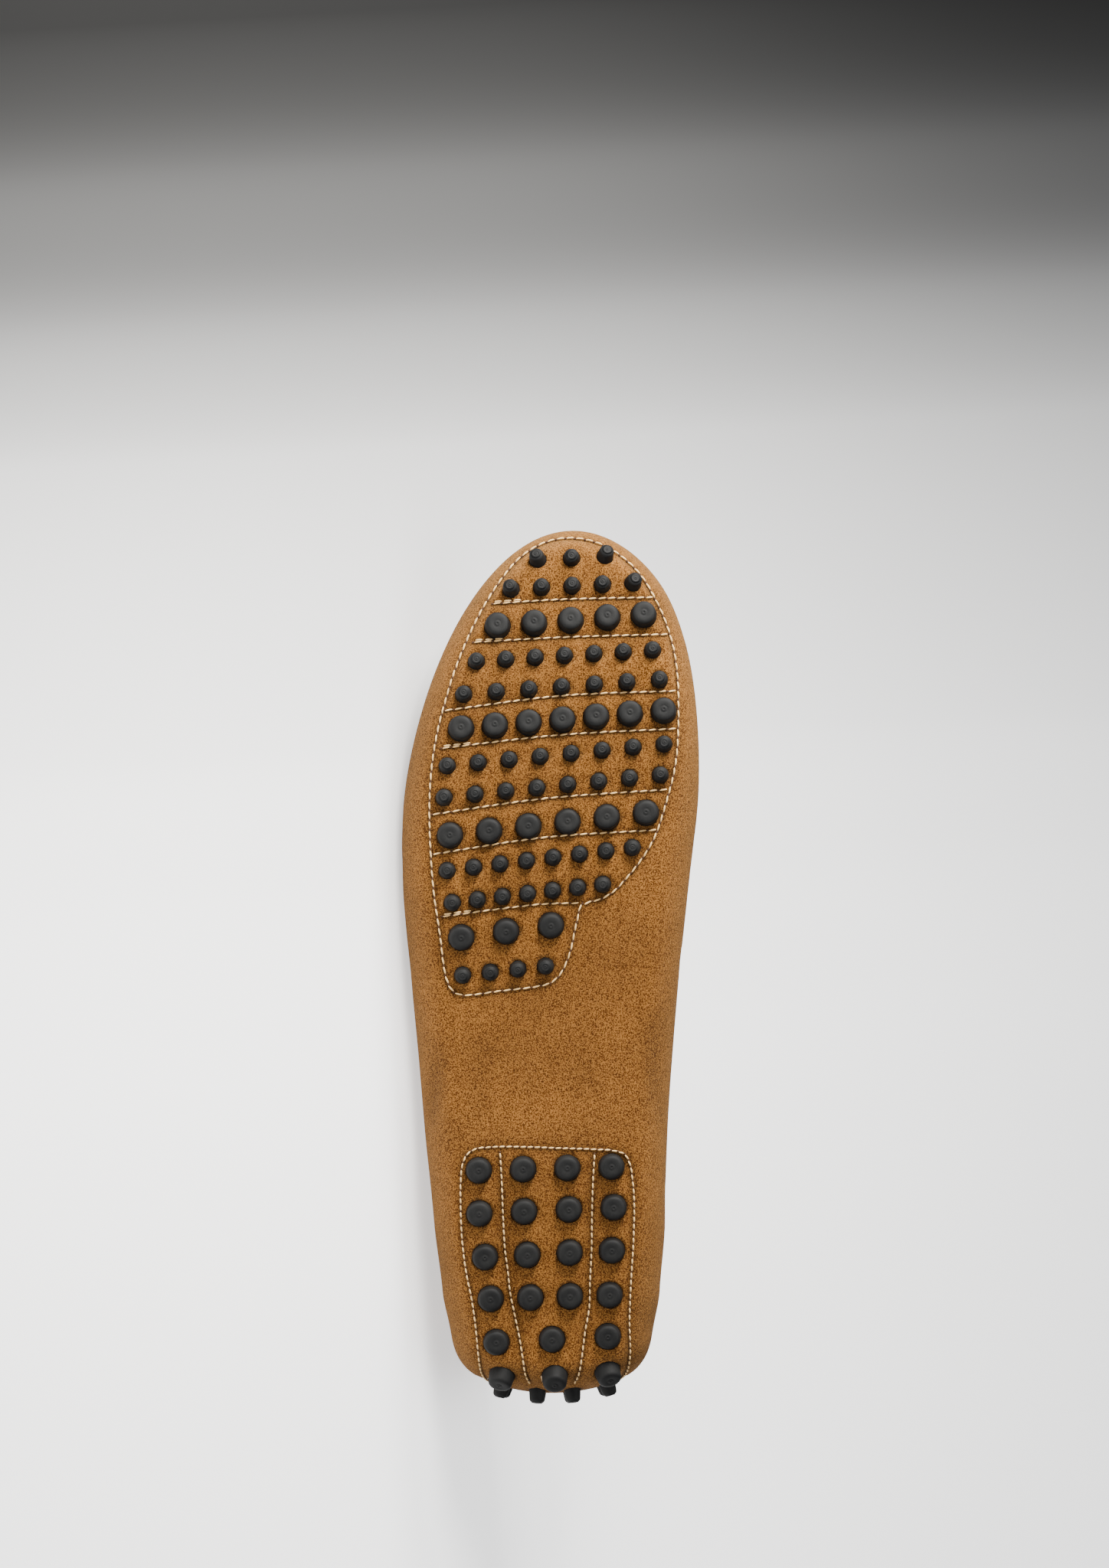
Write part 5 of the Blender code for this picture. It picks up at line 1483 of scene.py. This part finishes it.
paper.join(paper_sides[1], paper_level.inputs[1])
paper_share = paper.ranged(paper_level.outputs[0], -FLOOR_SPAN, FLOOR_SPAN)
paper_painted_shade = paper.add("ShaderNodeValToRGB")
paper_painted_shade.color_ramp.interpolation = "CARDINAL"
ramp = paper_painted_shade.color_ramp.elements
ramp[0].position, ramp[1].position = 0.0, 1.0
for _ in range(len(FLOOR_PAINTED_SHADES) - 2):
    ramp.new(0.5)
for element, shade in zip(ramp, FLOOR_PAINTED_SHADES):
    element.position, element.color = shade.height, (shade.grey, shade.grey, shade.grey, 1.0)
paper.join(paper_share, paper_painted_shade.inputs["Fac"])
paper.join(paper_painted_shade.outputs["Color"], paper_shader.inputs["Base Color"])
paper.join(paper_painted_shade.outputs["Color"], paper_shader.inputs["Emission Color"])
paper_shader.inputs["Emission Strength"].default_value = FLOOR_PAINTED_GLOW
floor, _ = add_piece("floor", floor_corners, [np.array([[0, 1, 2, 3]])], [PAPER])

Light = namedtuple("Light", "name place size power colour")
LIGHTS = (
    Light("key", (-0.50, -0.33, 0.36), 0.24, 13.0, (1.0, 0.98, 0.94)),
    Light("rim", (-0.60, 0.02, 0.34), 0.24, 10.0, (1.0, 0.98, 0.94)),
    Light("fill", (0.5, -1.5, 1.6), 1.6, 8.0, (0.95, 0.97, 1.0)),
    Light("top", (0.25, -0.15, 2.2), 1.6, 36.0, (1.0, 1.0, 1.0)),
)
for light in LIGHTS:
    lamp_data = bpy.data.lights.new(light.name, "AREA")
    lamp_data.size = light.size
    lamp_data.energy = light.power
    lamp_data.color = light.colour
    lamp = bpy.data.objects.new(light.name, lamp_data)
    lamp.location = light.place
    lamp.rotation_euler = (-Vector(light.place)).to_track_quat("-Z", "Y").to_euler()
    bpy.context.scene.collection.objects.link(lamp)
world = bpy.data.worlds.new("studio")
world.use_nodes = True
sky = world.node_tree.nodes["Background"]
sky.inputs["Color"].default_value = (0.9, 0.92, 0.95, 1.0)
sky.inputs["Strength"].default_value = 0.22
bpy.context.scene.world = world
